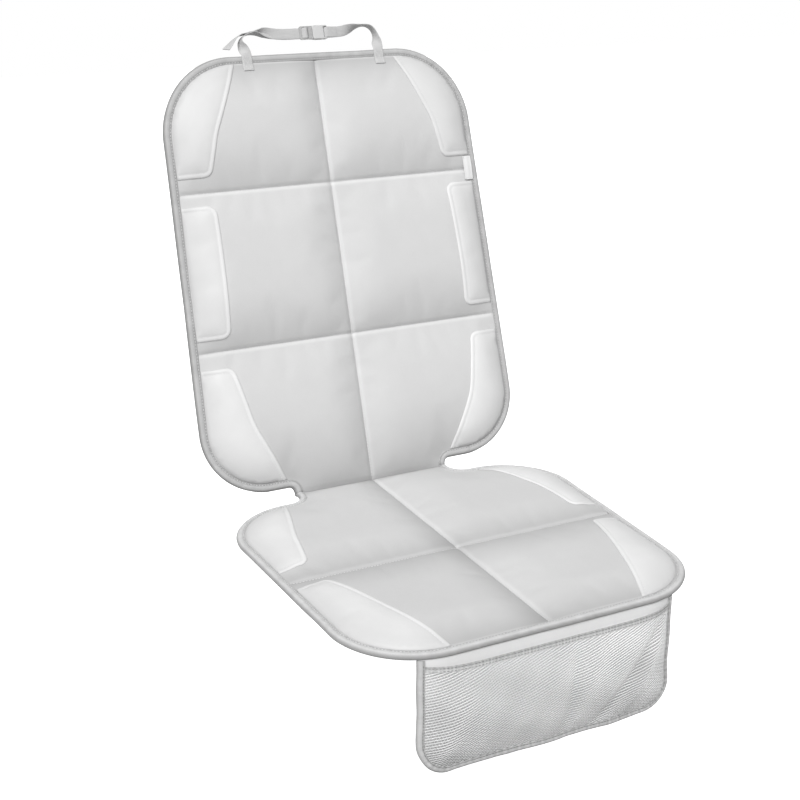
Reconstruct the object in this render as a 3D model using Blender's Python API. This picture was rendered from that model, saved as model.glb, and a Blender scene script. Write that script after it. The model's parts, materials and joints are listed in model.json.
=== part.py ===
"""Car seat protector mat: a quilted back panel and seat panel that meet at a waist seam.

Units are metres, +Z up, +X to the right of someone facing the mat, -Y towards that person.
The origin is the middle of the seat panel's flat underside, which rests on the car seat.
Each panel is drawn in its own frame: x across, t away from the fold, n out of its top face.
"""
import math

import bmesh
import bpy
import numpy as np
from mathutils import Vector
from mathutils.geometry import delaunay_2d_cdt

# Clearances and cloth thicknesses
GAP = 0.0003                # between surfaces that touch
BINDING_WALL = 0.0010       # binding tape, one layer
COVER_THICK = 0.0012        # quilted top fabric
LINING_THICK = 0.0010       # non-slip backing fabric
LINING_PRESS = 0.0002       # how much thinner the backing is where the tape is sewn over it
REST_CLEAR = 0.0010         # from the binding's inner edge to the face that lies on the car seat

# Outline shared by both panels, measured from the fold line
WAIST_HALF = 0.1185         # half width between the two side notches
BACK_LOBE = 0.0095          # fold to the lower edge of the back's rounded lobes
SEAT_LOBE = 0.0283          # fold to the rear edge of the seat's rounded lobes
BACK_NOTCH = 0.0075         # radius of the notch on the back's side of the fold
SEAT_NOTCH = 0.0220         # radius on the seat's side
BINDING_WIDTH = 0.0110      # binding tape as seen on the top face

# Back panel
BACK_LEAN = 17.56           # degrees back from upright
BACK_LENGTH = 0.6055        # fold to top edge
BACK_DEPTH = 0.0090         # thickness over the binding
BACK_HALF_LOW = 0.2436
BACK_HALF_HIGH = 0.2331
BACK_CORNER_LOW = 0.0887
BACK_CORNER_HIGH = 0.1090
BACK_SEAM_LOW = 0.2090      # fold to the lower cross seam
BACK_SEAM_HIGH = 0.4239     # fold to the upper cross seam
BACK_CROWN = 0.0100         # how far a quilted cell rises above its seams

# Seat panel
SEAT_LENGTH = 0.4805
SEAT_DEPTH = 0.0070
SEAT_HALF_REAR = 0.2480
SEAT_HALF_FRONT = 0.2385
SEAT_CORNER_REAR = 0.0997
SEAT_CORNER_FRONT = 0.1074
SEAT_SEAM = 0.2482          # fold to the seat's cross seam
SEAT_CROWN = 0.0092

# Quilting
SEAM_ROLL = 0.0950          # distance over which a cell falls towards a seam
EDGE_ROLL = 0.0500          # distance over which it falls towards the binding
ROLL_POWER = 2.2
LINE_OFFSETS = (0.012, 0.028, 0.056)

# Smooth patches in the corners and along the sides
PATCH_THICK = 0.0014
PATCH_RIM = 0.0024          # thickness at the raised rim
PATCH_LIP = 0.0008          # thickness at the very edge
PATCH_RIM_START = 0.0015
PATCH_RIM_END = 0.0055
PATCH_FALL = 0.0100
PATCH_SEAM_GAP = 0.0175     # from a cross seam to the patch beside it
PATCH_HIGH_GAP = 0.0226     # from the upper seam to the top patches
PATCH_LOW_GAP = 0.0230      # from the lower seam to the bottom patches
PATCH_REAR_GAP = 0.0300     # from the seat seam to the rear patches
PATCH_FRONT_GAP = 0.0198    # from the seat seam to the front patches
# Where each patch meets its panel's end edge, in from the panel's half width
PATCH_TOP_END = 0.1125
PATCH_LOWER_END = 0.1150
PATCH_REAR_END = 0.0985
PATCH_FRONT_END = 0.1095
# Its widest bend: in from the half width, and along from the end edge or its lobe
PATCH_TOP_BEND = (0.0705, 0.1060)
PATCH_LOWER_BEND = (0.0760, 0.0930)
PATCH_REAR_BEND = (0.0640, 0.1250)
PATCH_FRONT_BEND = (0.0720, 0.1250)
# Its corner beside a cross seam, in from the half width
PATCH_TOP_CORNER = 0.0555
PATCH_UPPER_CORNER = 0.0665     # middle patch, at the upper seam
PATCH_UNDER_CORNER = 0.0605     # middle patch, at the lower seam
PATCH_LOWER_CORNER = 0.0540
PATCH_REAR_CORNER = 0.0510
PATCH_FRONT_CORNER = 0.0470
PATCH_BEND_RADIUS = 0.1200
PATCH_CORNER_RADIUS = 0.0130
PATCH_ARC_STEPS = 3

# Headrest strap
STRAP_WIDTH = 0.0148
STRAP_THICK = 0.0012
STRAP_TAB_LEFT = -0.1010    # middle of the left sewn end
STRAP_TAB_RIGHT = 0.0990
STRAP_TAB_LENGTH = 0.0210   # sewn end below the back's top edge
STRAP_RISE = 0.0275         # buckle's middle above the back's top edge
TAIL_SPACE = 0.00155        # between the middles of two layers of webbing

# Side-release buckle, measured from its own middle
BUCKLE_X = 0.0040
BUCKLE_N = -0.0025          # middle plane of the buckle, from the back's top face level
BUCKLE_HALF = 0.0205        # half length over both pieces
SOCKET_START = -0.0020
SOCKET_WIDTH = 0.0192
SOCKET_THICK = 0.0084
SOCKET_WALL = 0.0014
SOCKET_BAR = 0.0022
PLUG_WIDTH = 0.0184
PLUG_THICK = 0.0030
PLUG_GRIP_THICK = 0.0060
BAR_THICK = 0.0024
BAR_LENGTH = 0.0022         # end bar and middle bar, along the strap
SLOT_NEAR = 0.0054          # slot between the two bars
SLOT_FAR = 0.0028           # slot between the middle bar and the grip
SLOT_WIDTH = 0.0158
TURN_SHIFT = 0.0006         # webbing's turn round a bar, out from the bar's middle
PRONG_REACH = 0.0130        # prongs inside the socket
PRONG_WIDTH = 0.0020
PRONG_ROOT = 0.0062         # outer side of a prong where it leaves the neck, from the middle
PRONG_CLEAR = 0.0006        # between a prong and the socket's side wall
BARB_REACH = 0.0014         # how far a barb stands into the socket's window
WINDOW_START = 0.0018       # socket's side windows, along the strap
WINDOW_END = 0.0112
WINDOW_HALF = 0.0022
SOCKET_SLOT = 0.0046        # slot for the webbing, along the strap
SOCKET_CORNER = 0.0022
BUCKLE_EDGE = 0.0012        # bevel along the socket's edges
GRIP_GROOVES = 3
GROOVE_START = 0.0010
GROOVE_STEP = 0.0016
GROOVE_WIDTH = 0.0008
GROOVE_DEPTH = 0.0005
CUT_PAST = 0.0020           # how far a cutting shape reaches beyond what it cuts

# Blank label at the right side, over the upper seam
LABEL_WIDTH = 0.0130
LABEL_LENGTH = 0.0340
LABEL_THICK = 0.0008
LABEL_OVERHANG = 0.0030     # how far it lies over the binding
LABEL_CORNER = 0.0012

# Mesh pocket under the seat's front edge
POCKET_HALF = 0.1733
POCKET_DROP = 0.1565        # from the seat's top face level to the pocket's lower edge
POCKET_CORNER = 0.0330
POCKET_SETBACK = 0.0025     # pocket panel's front face, in from the seat's edge
POCKET_SHEET = 0.0012
POCKET_NET = 0.0008
POCKET_BINDING_WALL = 0.0008
POCKET_BINDING_WIDTH = 0.0085
POCKET_DEPTH = 0.0150       # how far the net stands off the panel
POCKET_ROLL = 0.0750
MOUTH_DRAW = 0.35           # share of that depth which the elastic hem takes back
MOUTH_REACH = 0.0550        # distance below the mouth over which it does so
MOUTH_DROP = 0.0180         # seat's top face level to the pocket's mouth
HEM_HEIGHT = 0.0120
HEM_THICK = 0.0018
BEND_STEP = 0.0090          # widest flat stretch where the pocket curves back

ARC_STEPS = 7
NOTCH_STEPS = 4
ROUTE_STEPS = 2             # mesh steps between two stations of the strap
LONGEST_EDGE = 0.040        # mesh edges along outlines and patches
SPOT_CLEAR = 0.006          # mesh points inside the panels keep this far from such edges
INSIDE_ONLY = 1             # triangulate inside the outline only
MERGE = 1e-5

LINING_LEVEL = BINDING_WALL + GAP           # lining's underside, in from the binding's
TOP_EDGE = -(BINDING_WALL + GAP)            # cover's top face inside the binding
FOLD_Y = SEAT_LENGTH / 2
FOLD_Z = SEAT_DEPTH - LINING_LEVEL
MITRE = math.tan(math.radians(90 - BACK_LEAN) / 2)

BACK = {"name": "back", "length": BACK_LENGTH, "depth": BACK_DEPTH,
        "lobe": BACK_LOBE, "notch": BACK_NOTCH,
        "near": BACK_HALF_LOW, "far": BACK_HALF_HIGH, "crown": BACK_CROWN,
        "near_corner": BACK_CORNER_LOW, "far_corner": BACK_CORNER_HIGH,
        "seams": (BACK_SEAM_LOW, BACK_SEAM_HIGH)}
SEAT = {"name": "seat", "length": SEAT_LENGTH, "depth": SEAT_DEPTH,
        "lobe": SEAT_LOBE, "notch": SEAT_NOTCH,
        "near": SEAT_HALF_REAR, "far": SEAT_HALF_FRONT, "crown": SEAT_CROWN,
        "near_corner": SEAT_CORNER_REAR, "far_corner": SEAT_CORNER_FRONT,
        "seams": (SEAT_SEAM,)}


def clear_scene():
    for thing in list(bpy.data.objects):
        bpy.data.objects.remove(thing, do_unlink=True)


def material(name, colour, roughness, metallic=0.0):
    made = bpy.data.materials.new(name)
    made.use_nodes = True
    shader = made.node_tree.nodes["Principled BSDF"]
    shader.inputs["Base Color"].default_value = (*colour, 1.0)
    shader.inputs["Roughness"].default_value = roughness
    shader.inputs["Metallic"].default_value = metallic
    return made


def add_object(name, bm, look, parent):
    """Turn a bmesh into a named object with outward faces, placed by its parent frame."""
    bmesh.ops.recalc_face_normals(bm, faces=bm.faces)
    mesh = bpy.data.meshes.new(name)
    bm.to_mesh(mesh)
    bm.free()
    thing = bpy.data.objects.new(name, mesh)
    thing.data.materials.append(look)
    thing.parent = parent
    bpy.context.collection.objects.link(thing)
    return thing


def frame(name, location, rotation, parent=None):
    empty = bpy.data.objects.new(name, None)
    empty.location = location
    empty.rotation_euler = rotation
    empty.parent = parent
    bpy.context.collection.objects.link(empty)
    return empty


def arc(cx, cy, radius, start, end, steps):
    """Points on a circle from one angle to another, in degrees, both ends included."""
    angles = [math.radians(start + (end - start) * i / steps) for i in range(steps + 1)]
    return [(cx + radius * math.cos(a), cy + radius * math.sin(a)) for a in angles]


def fillet(before, corner, after, radius, steps):
    """Replace a polygon's corner by an arc that touches both of its sides."""
    here = Vector(corner)
    one = (Vector(before) - here).normalized()
    two = (Vector(after) - here).normalized()
    half = one.angle(two) / 2
    reach = radius / math.tan(half)
    centre = here + (one + two).normalized() * (radius / math.sin(half))
    first = here + one * reach - centre
    last = here + two * reach - centre
    points = []
    for i in range(steps + 1):
        k = i / steps
        way = first.lerp(last, k).normalized() * radius
        points.append(tuple(centre + way))
    return points


def panel_outline(panel, inset):
    """Outer edge of a panel moved inwards, from the fold up the right side and down the left."""
    notch = panel["notch"]
    near = panel["near_corner"]
    far = panel["far_corner"]
    right = [(WAIST_HALF - inset, 0)]
    right += arc(WAIST_HALF + notch, panel["lobe"] - notch, notch + inset, 180, 90, NOTCH_STEPS)
    right += arc(panel["near"] - near, panel["lobe"] + near, near - inset, -90, 0, ARC_STEPS)
    right += arc(panel["far"] - far, panel["length"] - far, far - inset, 0, 90, ARC_STEPS)
    return right + [(-x, t) for x, t in reversed(right)]


def distance_to(points, x, t):
    """Shortest distance from a point to an open run of straight stretches."""
    run = np.array(points)
    start = run[:-1]
    step = run[1:] - start
    offset = np.array((x, t)) - start
    share = np.clip((offset * step).sum(axis=1) / (step * step).sum(axis=1), 0, 1)
    return float(np.linalg.norm(offset - step * share[:, None], axis=1).min())


def roll(distance, width):
    """Rise from 0 at a seam to 1 at the given width, steep first and level last."""
    if distance <= 0:
        return 0.0
    return 1 - (1 - min(distance / width, 1)) ** ROLL_POWER


def cover_level(panel):
    """Height of the quilted top face over the panel, as a function of x and t."""
    edge = panel_outline(panel, 0)

    def level(x, t):
        rise = roll(distance_to(edge, x, t) - BINDING_WIDTH, EDGE_ROLL) * roll(abs(x), SEAM_ROLL)
        rise *= roll(t, SEAM_ROLL)
        for seam in panel["seams"]:
            rise *= roll(abs(t - seam), SEAM_ROLL)
        return TOP_EDGE + panel["crown"] * rise
    return level


def lines_between(marks):
    """Positions of mesh lines: each mark, a few offsets from it, and the middle between marks."""
    lines = []
    for low, high in zip(marks, marks[1:]):
        half = (high - low) / 2
        offsets = [o for o in LINE_OFFSETS if o < half * 0.9]
        lines += [low] + [low + o for o in offsets] + [low + half] + [high - o for o in offsets]
    return sorted(lines + [marks[-1]])


def panel_lines(panel):
    across = lines_between((0, panel["near"]))
    along = lines_between((0, *panel["seams"], panel["length"]))
    return sorted({-x for x in across} | set(across)), along


def closed(points):
    return points + points[:1]


def divided(points):
    """The same run of straight stretches, with long ones cut into even pieces."""
    made = []
    for one, two in zip(points, points[1:]):
        count = math.ceil(math.dist(one, two) / LONGEST_EDGE)
        made += [tuple(a + (b - a) * i / count for a, b in zip(one, two)) for i in range(count)]
    return made + [points[-1]]


def triangles_between(runs, spots):
    """Flat triangles that fill the first run, and keep every run of edges and every spot."""
    points = [Vector(spot) for spot in spots]
    edges = []
    for run in runs:
        first = len(points)
        points += [Vector(point) for point in run]
        edges += [(first + i, first + i + 1) for i in range(len(run) - 1)]
    made, _, faces, *_ = delaunay_2d_cdt(points, edges, [], INSIDE_ONLY, MERGE)
    corners = [tuple(corner) for corner in made]
    return corners, [f for f in faces if inside(runs[0], *centre(corners, f))]


def centre(corners, face):
    return np.mean([corners[i] for i in face], axis=0)


def free_spots(runs, lines_x, lines_t):
    """Crossings of the mesh lines that lie inside the outline and clear of every run."""
    spots = []
    for x in lines_x:
        for t in lines_t:
            clear = min(distance_to(run, x, t) for run in runs)
            if inside(runs[0], x, t) and clear > SPOT_CLEAR:
                spots.append((x, t))
    return spots


def inside(outline, x, t):
    """Whether a point lies inside a closed outline."""
    odd = False
    for (x1, t1), (x2, t2) in zip(outline, outline[1:] + outline[:1]):
        if (t1 > t) != (t2 > t) and x < x1 + (x2 - x1) * (t - t1) / (t2 - t1):
            odd = not odd
    return odd


def plan_mesh(plan, outline=None):
    """Mesh of a plan's triangles, or of those that lie inside an outline."""
    points, faces = plan
    bm = bmesh.new()
    made = {}
    for face in faces:
        if outline is None or inside(outline, *centre(points, face)):
            for i in face:
                if i not in made:
                    made[i] = bm.verts.new((*points[i], 0))
            bm.faces.new([made[i] for i in face])
    return bm


def boundary_loop(bm):
    edges = [e for e in bm.edges if e.is_boundary]
    step = {}
    for edge in edges:
        face = edge.link_faces[0]
        for loop in face.loops:
            if loop.edge == edge:
                step[loop.vert] = loop.link_loop_next.vert
    first = edges[0].verts[0]
    order = [first]
    while step[order[-1]] != first:
        order.append(step[order[-1]])
    return order


def thicken(bm, lower, upper, flat=False, mitre=False):
    """Make a flat plan into a closed sheet between two height functions.

    A flat sheet has one plain face below. A mitred one is cut at the fold on the plane
    half way between the two panels.
    """
    rim = boundary_loop(bm)
    at_rim = set(rim)
    plan = [(v, v.co.x, v.co.y) for v in bm.verts]
    tops = list(bm.faces)
    below = {}
    for vert, x, t in plan:
        if not flat or vert in at_rim:
            below[vert] = bm.verts.new((x, t, lower(x, t)))
        vert.co.z = upper(x, t)
    if flat:
        bm.faces.new([below[v] for v in reversed(rim)])
    else:
        for face in tops:
            bm.faces.new([below[v] for v in reversed(face.verts)])
    for here, there in zip(rim, rim[1:] + rim[:1]):
        bm.faces.new((here, below[here], below[there], there))
    if mitre:
        for vert in bm.verts:
            if abs(vert.co.y) < 1e-6:
                vert.co.y = vert.co.z * MITRE + GAP / 2
    return bm


def loft(rings, level=None, mitre=False):
    """Join equal rings of points into a closed strip with flat ends."""
    bm = bmesh.new()
    loops = [[bm.verts.new(point) for point in ring] for ring in rings]
    count = len(rings[0])
    for one, two in zip(loops, loops[1:] + loops[:1]):
        for i in range(count - 1):
            bm.faces.new((one[i], one[i + 1], two[i + 1], two[i]))
    for end in (0, count - 1):
        bm.faces.new([loop[end] for loop in loops])
        if mitre:
            for loop in loops:
                loop[end].co.y = loop[end].co.z * MITRE + GAP / 2
    if level:
        for vert in bm.verts:
            vert.co.z += level(vert.co.x)
    bmesh.ops.triangulate(bm, faces=bm.faces[:])
    return bm


def binding_section(top, bottom, width, wall):
    """Folded tape over an edge: pairs of inset from the edge and height, rounded outside."""
    middle = (top + bottom) / 2
    depth = top - bottom
    outer = [(width, top), (depth * 0.30, top), (depth * 0.07, top - depth * 0.17), (0, middle),
             (depth * 0.07, bottom + depth * 0.17), (depth * 0.30, bottom), (width, bottom)]
    inner = [(width, bottom + wall), (wall, bottom + wall), (wall, top - wall), (width, top - wall)]
    return outer + inner


def panel_plan(panel, patches):
    """One set of triangles for every layer of a panel, so that the layers lie parallel."""
    runs = [divided(closed(panel_outline(panel, LINING_LEVEL)))]
    runs.append(divided(panel_outline(panel, BINDING_WIDTH)))
    for side in (1, -1):
        for outline, inner in patches:
            edges = [offset_inner(outline, inner, w) for w in (PATCH_RIM_START, PATCH_RIM_END)]
            runs += [[(x * side, t) for x, t in run] for run in (closed(outline), *edges)]
    wide = panel["near"] - LINING_LEVEL
    long = panel["length"] - LINING_LEVEL
    seams = [[(0, 0), (0, long)]] + [[(-wide, t), (wide, t)] for t in panel["seams"]]
    return triangles_between(runs + seams, free_spots(runs, *panel_lines(panel)))


def make_panel(panel, plan, looks, parent):
    """The layers of one panel, from the face down, and the tape round its edge."""
    name = panel["name"]
    top = cover_level(panel)
    underside = -panel["depth"] + LINING_LEVEL
    foam_base = underside + LINING_THICK + GAP

    def cover_under(x, t):
        return top(x, t) - COVER_THICK

    def foam_top(x, t):
        return cover_under(x, t) - GAP

    cover = thicken(plan_mesh(plan), cover_under, top, mitre=True)
    add_object(name + "_cover", cover, looks["cover"], parent)
    foam = thicken(plan_mesh(plan), lambda x, t: foam_base, foam_top, flat=True, mitre=True)
    add_object(name + "_foam", foam, looks["foam"], parent)
    outer = panel_outline(panel, 0)
    rest = panel_outline(panel, BINDING_WIDTH + REST_CLEAR)[1:-1]

    def lining_base(x, t):
        under_tape = distance_to(outer, x, t) < BINDING_WIDTH
        return underside + LINING_PRESS * under_tape

    edge = triangles_between([closed(panel_outline(panel, LINING_LEVEL)), closed(rest)], [])
    lining = thicken(plan_mesh(edge), lining_base,
                     lambda x, t: underside + LINING_THICK, mitre=True)
    add_object(name + "_lining", lining, looks["lining"], parent)
    section = binding_section(0, -panel["depth"], BINDING_WIDTH, BINDING_WALL)
    tape = [[(x, t, n) for x, t in panel_outline(panel, inset)] for inset, n in section]
    add_object(name + "_binding", loft(tape, mitre=True), looks["binding"], parent)


def crossing(path, axis, value):
    """First place where a run of points crosses a line, with the index of the point after it."""
    for i in range(1, len(path)):
        one = path[i - 1][axis] - value
        two = path[i][axis] - value
        if one * two <= 0 and one != two:
            share = one / (one - two)
            point = tuple(a + (b - a) * share for a, b in zip(path[i - 1], path[i]))
            return i, point
    raise ValueError("the outline has no such place")


def patch_shape(panel, start, end, corners):
    """Right-hand patch: its outline, and its inner edge alone.

    The outer side follows the binding from start to end, each given as axis and value.
    """
    whole = panel_outline(panel, BINDING_WIDTH + GAP)
    right = whole[:len(whole) // 2] + [(0, whole[len(whole) // 2][1])]
    low, first = crossing(right, *start)
    rest = [first] + right[low:]
    high, last = crossing(rest, *end)
    outer = rest[:high] + [last]
    points = [last] + [c[:2] for c in corners] + [first]
    inner = [last]
    for i, (_, _, radius, steps) in enumerate(corners):
        inner += fillet(points[i], points[i + 1], points[i + 2], radius, steps)
    inner = divided(inner + [first])
    return outer + inner[1:-1], inner


def offset_inner(outline, inner, width):
    """A line beside a patch's inner edge, moved into the patch and ended inside it."""
    moved = []
    for before, here, after in zip(inner, inner[1:], inner[2:]):
        way = (Vector(after) - Vector(before)).normalized() * width
        for x, t in ((here[0] - way.y, here[1] + way.x), (here[0] + way.y, here[1] - way.x)):
            if inside(outline, x, t) and distance_to(inner, x, t) > width * 0.9:
                moved.append((x, t))
                break
    return moved


def make_patch(name, panel, plan, side, shape, look, parent):
    """A padded patch with a raised rim along its inner edge, lying on the quilted face."""
    outline, inner = ([(x * side, t) for x, t in run] for run in shape)
    top = cover_level(panel)

    def under(x, t):
        return top(x, t) + GAP

    def over(x, t):
        thick = np.interp(distance_to(inner, x, t),
                          (0, PATCH_RIM_START, PATCH_RIM_END, PATCH_FALL),
                          (PATCH_LIP, PATCH_RIM, PATCH_RIM, PATCH_THICK))
        return under(x, t) + float(thick)

    add_object(name, thicken(plan_mesh(plan, outline), under, over), look, parent)


def patch_corner(x, t):
    return x, t, PATCH_CORNER_RADIUS, PATCH_ARC_STEPS


def patch_bend(half, bend, end, way):
    """The widest bend of a patch, measured along the panel from its end."""
    return half - bend[0], end + way * bend[1], PATCH_BEND_RADIUS, PATCH_ARC_STEPS


def patch_shapes():
    """Each patch by name, with corners as x, t, radius and steps, from its inner end outwards."""
    high = BACK_SEAM_HIGH + PATCH_HIGH_GAP
    low = BACK_SEAM_LOW - PATCH_LOW_GAP
    upper = BACK_SEAM_HIGH - PATCH_SEAM_GAP
    lower = BACK_SEAM_LOW + PATCH_SEAM_GAP
    rear = SEAT_SEAM - PATCH_REAR_GAP
    front = SEAT_SEAM + PATCH_FRONT_GAP
    top_half = BACK_HALF_HIGH
    low_half = BACK_HALF_LOW
    rear_half = SEAT_HALF_REAR
    front_half = SEAT_HALF_FRONT
    return {
        "back_patch_top": (BACK, (1, high), (0, top_half - PATCH_TOP_END), [
            patch_bend(top_half, PATCH_TOP_BEND, BACK_LENGTH, -1),
            patch_corner(top_half - PATCH_TOP_CORNER, high)]),
        "back_patch_middle": (BACK, (1, lower), (1, upper), [
            patch_corner(low_half - PATCH_UPPER_CORNER, upper),
            patch_corner(low_half - PATCH_UNDER_CORNER, lower)]),
        "back_patch_lower": (BACK, (0, low_half - PATCH_LOWER_END), (1, low), [
            patch_corner(low_half - PATCH_LOWER_CORNER, low),
            patch_bend(low_half, PATCH_LOWER_BEND, BACK_LOBE, 1)]),
        "seat_patch_rear": (SEAT, (0, rear_half - PATCH_REAR_END), (1, rear), [
            patch_corner(rear_half - PATCH_REAR_CORNER, rear),
            patch_bend(rear_half, PATCH_REAR_BEND, SEAT_LOBE, 1)]),
        "seat_patch_front": (SEAT, (1, front), (0, front_half - PATCH_FRONT_END), [
            patch_bend(front_half, PATCH_FRONT_BEND, SEAT_LENGTH, -1),
            patch_corner(front_half - PATCH_FRONT_CORNER, front)]),
    }


def make_panels(looks, frames):
    """Both panels with their patches. The seat's frame is turned round, so its sides swap."""
    for panel, turned in ((BACK, 1), (SEAT, -1)):
        own = {name: patch_shape(*spec) for name, spec in patch_shapes().items()
               if spec[0] is panel}
        plan = panel_plan(panel, own.values())
        parent = frames[panel["name"]]
        make_panel(panel, plan, looks, parent)
        for name, shape in own.items():
            for side, word in ((1, "right"), (-1, "left")):
                make_patch(f"{name}_{word}", panel, plan, side * turned, shape, looks["patch"], parent)


def smooth_route(points, per_span):
    """Catmull-Rom curve through stations of x, t, n and turn."""
    whole = np.array(points, dtype=float)
    padded = np.vstack((2 * whole[0] - whole[1], whole, 2 * whole[-1] - whole[-2]))
    made = []
    for i in range(1, len(padded) - 2):
        a, b, c, d = padded[i - 1:i + 3]
        for step in range(per_span):
            k = step / per_span
            made.append(0.5 * (2 * b + (c - a) * k + (2 * a - 5 * b + 4 * c - d) * k * k
                               + (3 * b - a - 3 * c + d) * k ** 3))
    return made + [padded[-2]]


def ribbon(stations, width, thick):
    """The four edges of webbing along stations: turn 0 sets its width along n, 90 across that."""
    places = [Vector(s[:3]) for s in stations]
    normal = Vector((0, 0, 1))
    rings = []
    for i, station in enumerate(stations):
        ahead = places[min(i + 1, len(places) - 1)] - places[max(i - 1, 0)]
        ahead.normalize()
        side = ahead.cross(normal).normalized()
        upright = side.cross(ahead).normalized()
        turn = math.radians(station[3])
        across = (upright * math.cos(turn) + side * math.sin(turn)) * (width / 2)
        out = ahead.cross(across).normalized() * (thick / 2)
        rings.append([places[i] + across + out, places[i] - across + out,
                      places[i] - across - out, places[i] + across - out])
    return [[tuple(ring[k]) for ring in rings] for k in range(4)]


def folded_ribbon(outline, level_t, width, thick):
    """Webbing bent round a bar: the outline is its middle line in x and n, its width lies on t."""
    rings = []
    for i, here in enumerate(outline):
        ahead = Vector(outline[min(i + 1, len(outline) - 1)]) - Vector(outline[max(i - 1, 0)])
        ahead.normalize()
        rings.append((Vector(here), Vector((-ahead.y, ahead.x)) * (thick / 2)))
    columns = []
    for side, edge in ((1, 1), (1, -1), (-1, -1), (-1, 1)):
        columns.append([(c.x + side * o.x, level_t + edge * width / 2, c.y + side * o.y)
                        for c, o in rings])
    return columns


def strap_routes():
    """Stations of both straps, in the back panel's frame: x, t, n and turn in degrees."""
    top = BACK_LENGTH
    mid = top + STRAP_RISE
    tab = GAP + STRAP_THICK / 2 + 0.0002
    sewn = tab + max(0, cover_level(BACK)(STRAP_TAB_LEFT, top - STRAP_TAB_LENGTH))
    bar = BAR_THICK / 2 + GAP + STRAP_THICK / 2
    rear = BUCKLE_N - bar
    front = BUCKLE_N + bar
    end_bar = BUCKLE_X - BUCKLE_HALF + BAR_LENGTH
    mid_bar = end_bar + SLOT_NEAR + BAR_LENGTH / 2
    left = STRAP_TAB_LEFT
    right = STRAP_TAB_RIGHT
    main = [
        (left, top - STRAP_TAB_LENGTH, sewn, 90), (left, top - 0.012, tab, 90),
        (left, top - 0.003, tab, 90), (left - 0.0003, top + 0.003, tab - 0.0008, 86),
        (left - 0.0020, top + 0.009, -0.0014, 62), (left - 0.0042, top + 0.015, -0.0030, 22),
        (left - 0.0043, top + 0.0200, -0.0040, 4), (left - 0.0010, top + 0.0250, rear, 0),
        (left + 0.0050, top + 0.0288, rear, 0), (left + 0.0125, top + 0.0306, rear, -3),
        (left + 0.0220, top + 0.0316, rear, -22), (left + 0.0320, top + 0.0310, rear, -58),
        (left + 0.0460, mid + 0.0012, rear, -84), (left + 0.0620, mid, rear, -90),
        (end_bar - 0.0080, mid, rear, -90)]
    turn = [
        (end_bar - 0.0030, rear), (end_bar - 0.0004, rear), (end_bar + 0.0008, rear + 0.0005),
        (end_bar + SLOT_NEAR / 2, BUCKLE_N), (mid_bar - BAR_LENGTH / 2 - 0.0008, front - 0.0005),
        (mid_bar - 0.0006, front)]
    turn += arc(mid_bar + TURN_SHIFT, BUCKLE_N, bar, 90, -90, 6)
    turn += [
        (mid_bar - 0.0025, rear - 0.0002), (end_bar + 0.0018, rear - TAIL_SPACE + 0.0003),
        (end_bar - 0.0004, rear - TAIL_SPACE), (end_bar - 0.0030, rear - TAIL_SPACE)]
    tail = []
    for x, t, n, turned in reversed(main[8:]):
        a = math.radians(turned)
        tail.append((x, t + TAIL_SPACE * math.cos(a), n + TAIL_SPACE * math.sin(a), turned))
    tail += [
        (left - 0.0040, top + 0.0285, rear, 0), (left - 0.0125, top + 0.0232, rear + 0.0004, -6),
        (left - 0.0200, top + 0.0160, rear + 0.0010, -18),
        (left - 0.0265, top + 0.0100, rear + 0.0016, -26)]
    out = [
        (right, top - STRAP_TAB_LENGTH, sewn, 90), (right, top - 0.012, tab, 90),
        (right, top - 0.003, tab, 90), (right + 0.0002, top + 0.003, tab - 0.0008, 84),
        (right + 0.0006, top + 0.009, -0.0014, 58), (right + 0.0010, top + 0.016, -0.0030, 18),
        (right + 0.0006, top + 0.0225, -0.0040, 4), (right - 0.0022, top + 0.0292, rear, 0),
        (right - 0.0080, top + 0.0340, rear, 0), (right - 0.0160, top + 0.0353, rear, 0),
        (right - 0.0260, top + 0.0340, rear, 14), (right - 0.0370, top + 0.0318, rear, 48),
        (right - 0.0500, mid + 0.0010, rear, 82), (right - 0.0640, mid, rear, 90),
        (BUCKLE_X + BUCKLE_HALF + 0.0060, mid, rear, 90)]
    return main, turn, tail, out


def make_straps(look, parent):
    """Two webbing ends. The left one runs through the plug's bars and back to a loose tail."""
    main, turn, tail, out = strap_routes()
    mid = BACK_LENGTH + STRAP_RISE
    pieces = []
    for part in (smooth_route(main, ROUTE_STEPS), turn, smooth_route(tail, ROUTE_STEPS)):
        if part is turn:
            columns = folded_ribbon(part, mid, STRAP_WIDTH, STRAP_THICK)
        else:
            columns = ribbon(part, STRAP_WIDTH, STRAP_THICK)
        pieces.append(columns)
    joined = pieces[0]
    for columns in pieces[1:]:
        joined = [one + two for one, two in zip(joined, match_columns(joined, columns))]
    add_object("strap_left", loft(joined), look, parent)

    bar = BAR_THICK / 2 + GAP + STRAP_THICK / 2
    bar_x = BUCKLE_X + BUCKLE_HALF - SOCKET_BAR / 2
    loop = [(bar_x + 0.0160, BUCKLE_N + bar - 0.0022), (bar_x + 0.0090, BUCKLE_N + bar - 0.0018),
            (bar_x + 0.0040, BUCKLE_N + bar - 0.0004)]
    loop += arc(bar_x - TURN_SHIFT, BUCKLE_N, bar, 90, 270, 6)
    loop += [(bar_x + 0.0030, BUCKLE_N - bar)]
    first = folded_ribbon(loop, mid, STRAP_WIDTH, STRAP_THICK)
    second = ribbon(smooth_route(out[::-1], ROUTE_STEPS), STRAP_WIDTH, STRAP_THICK)
    joined = [one + two for one, two in zip(first, match_columns(first, second))]
    add_object("strap_right", loft(joined), look, parent)


def match_columns(joined, columns):
    """Turn the order of a section's corners so that each lies nearest the stretch before it."""
    ends = [Vector(column[-1]) for column in joined]
    orders = []
    for shift in range(4):
        for way in (1, -1):
            order = [columns[(shift + way * k) % 4] for k in range(4)]
            total = sum((Vector(column[0]) - end).length for column, end in zip(order, ends))
            orders.append((total, len(orders), order))
    return min(orders)[2]


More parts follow.
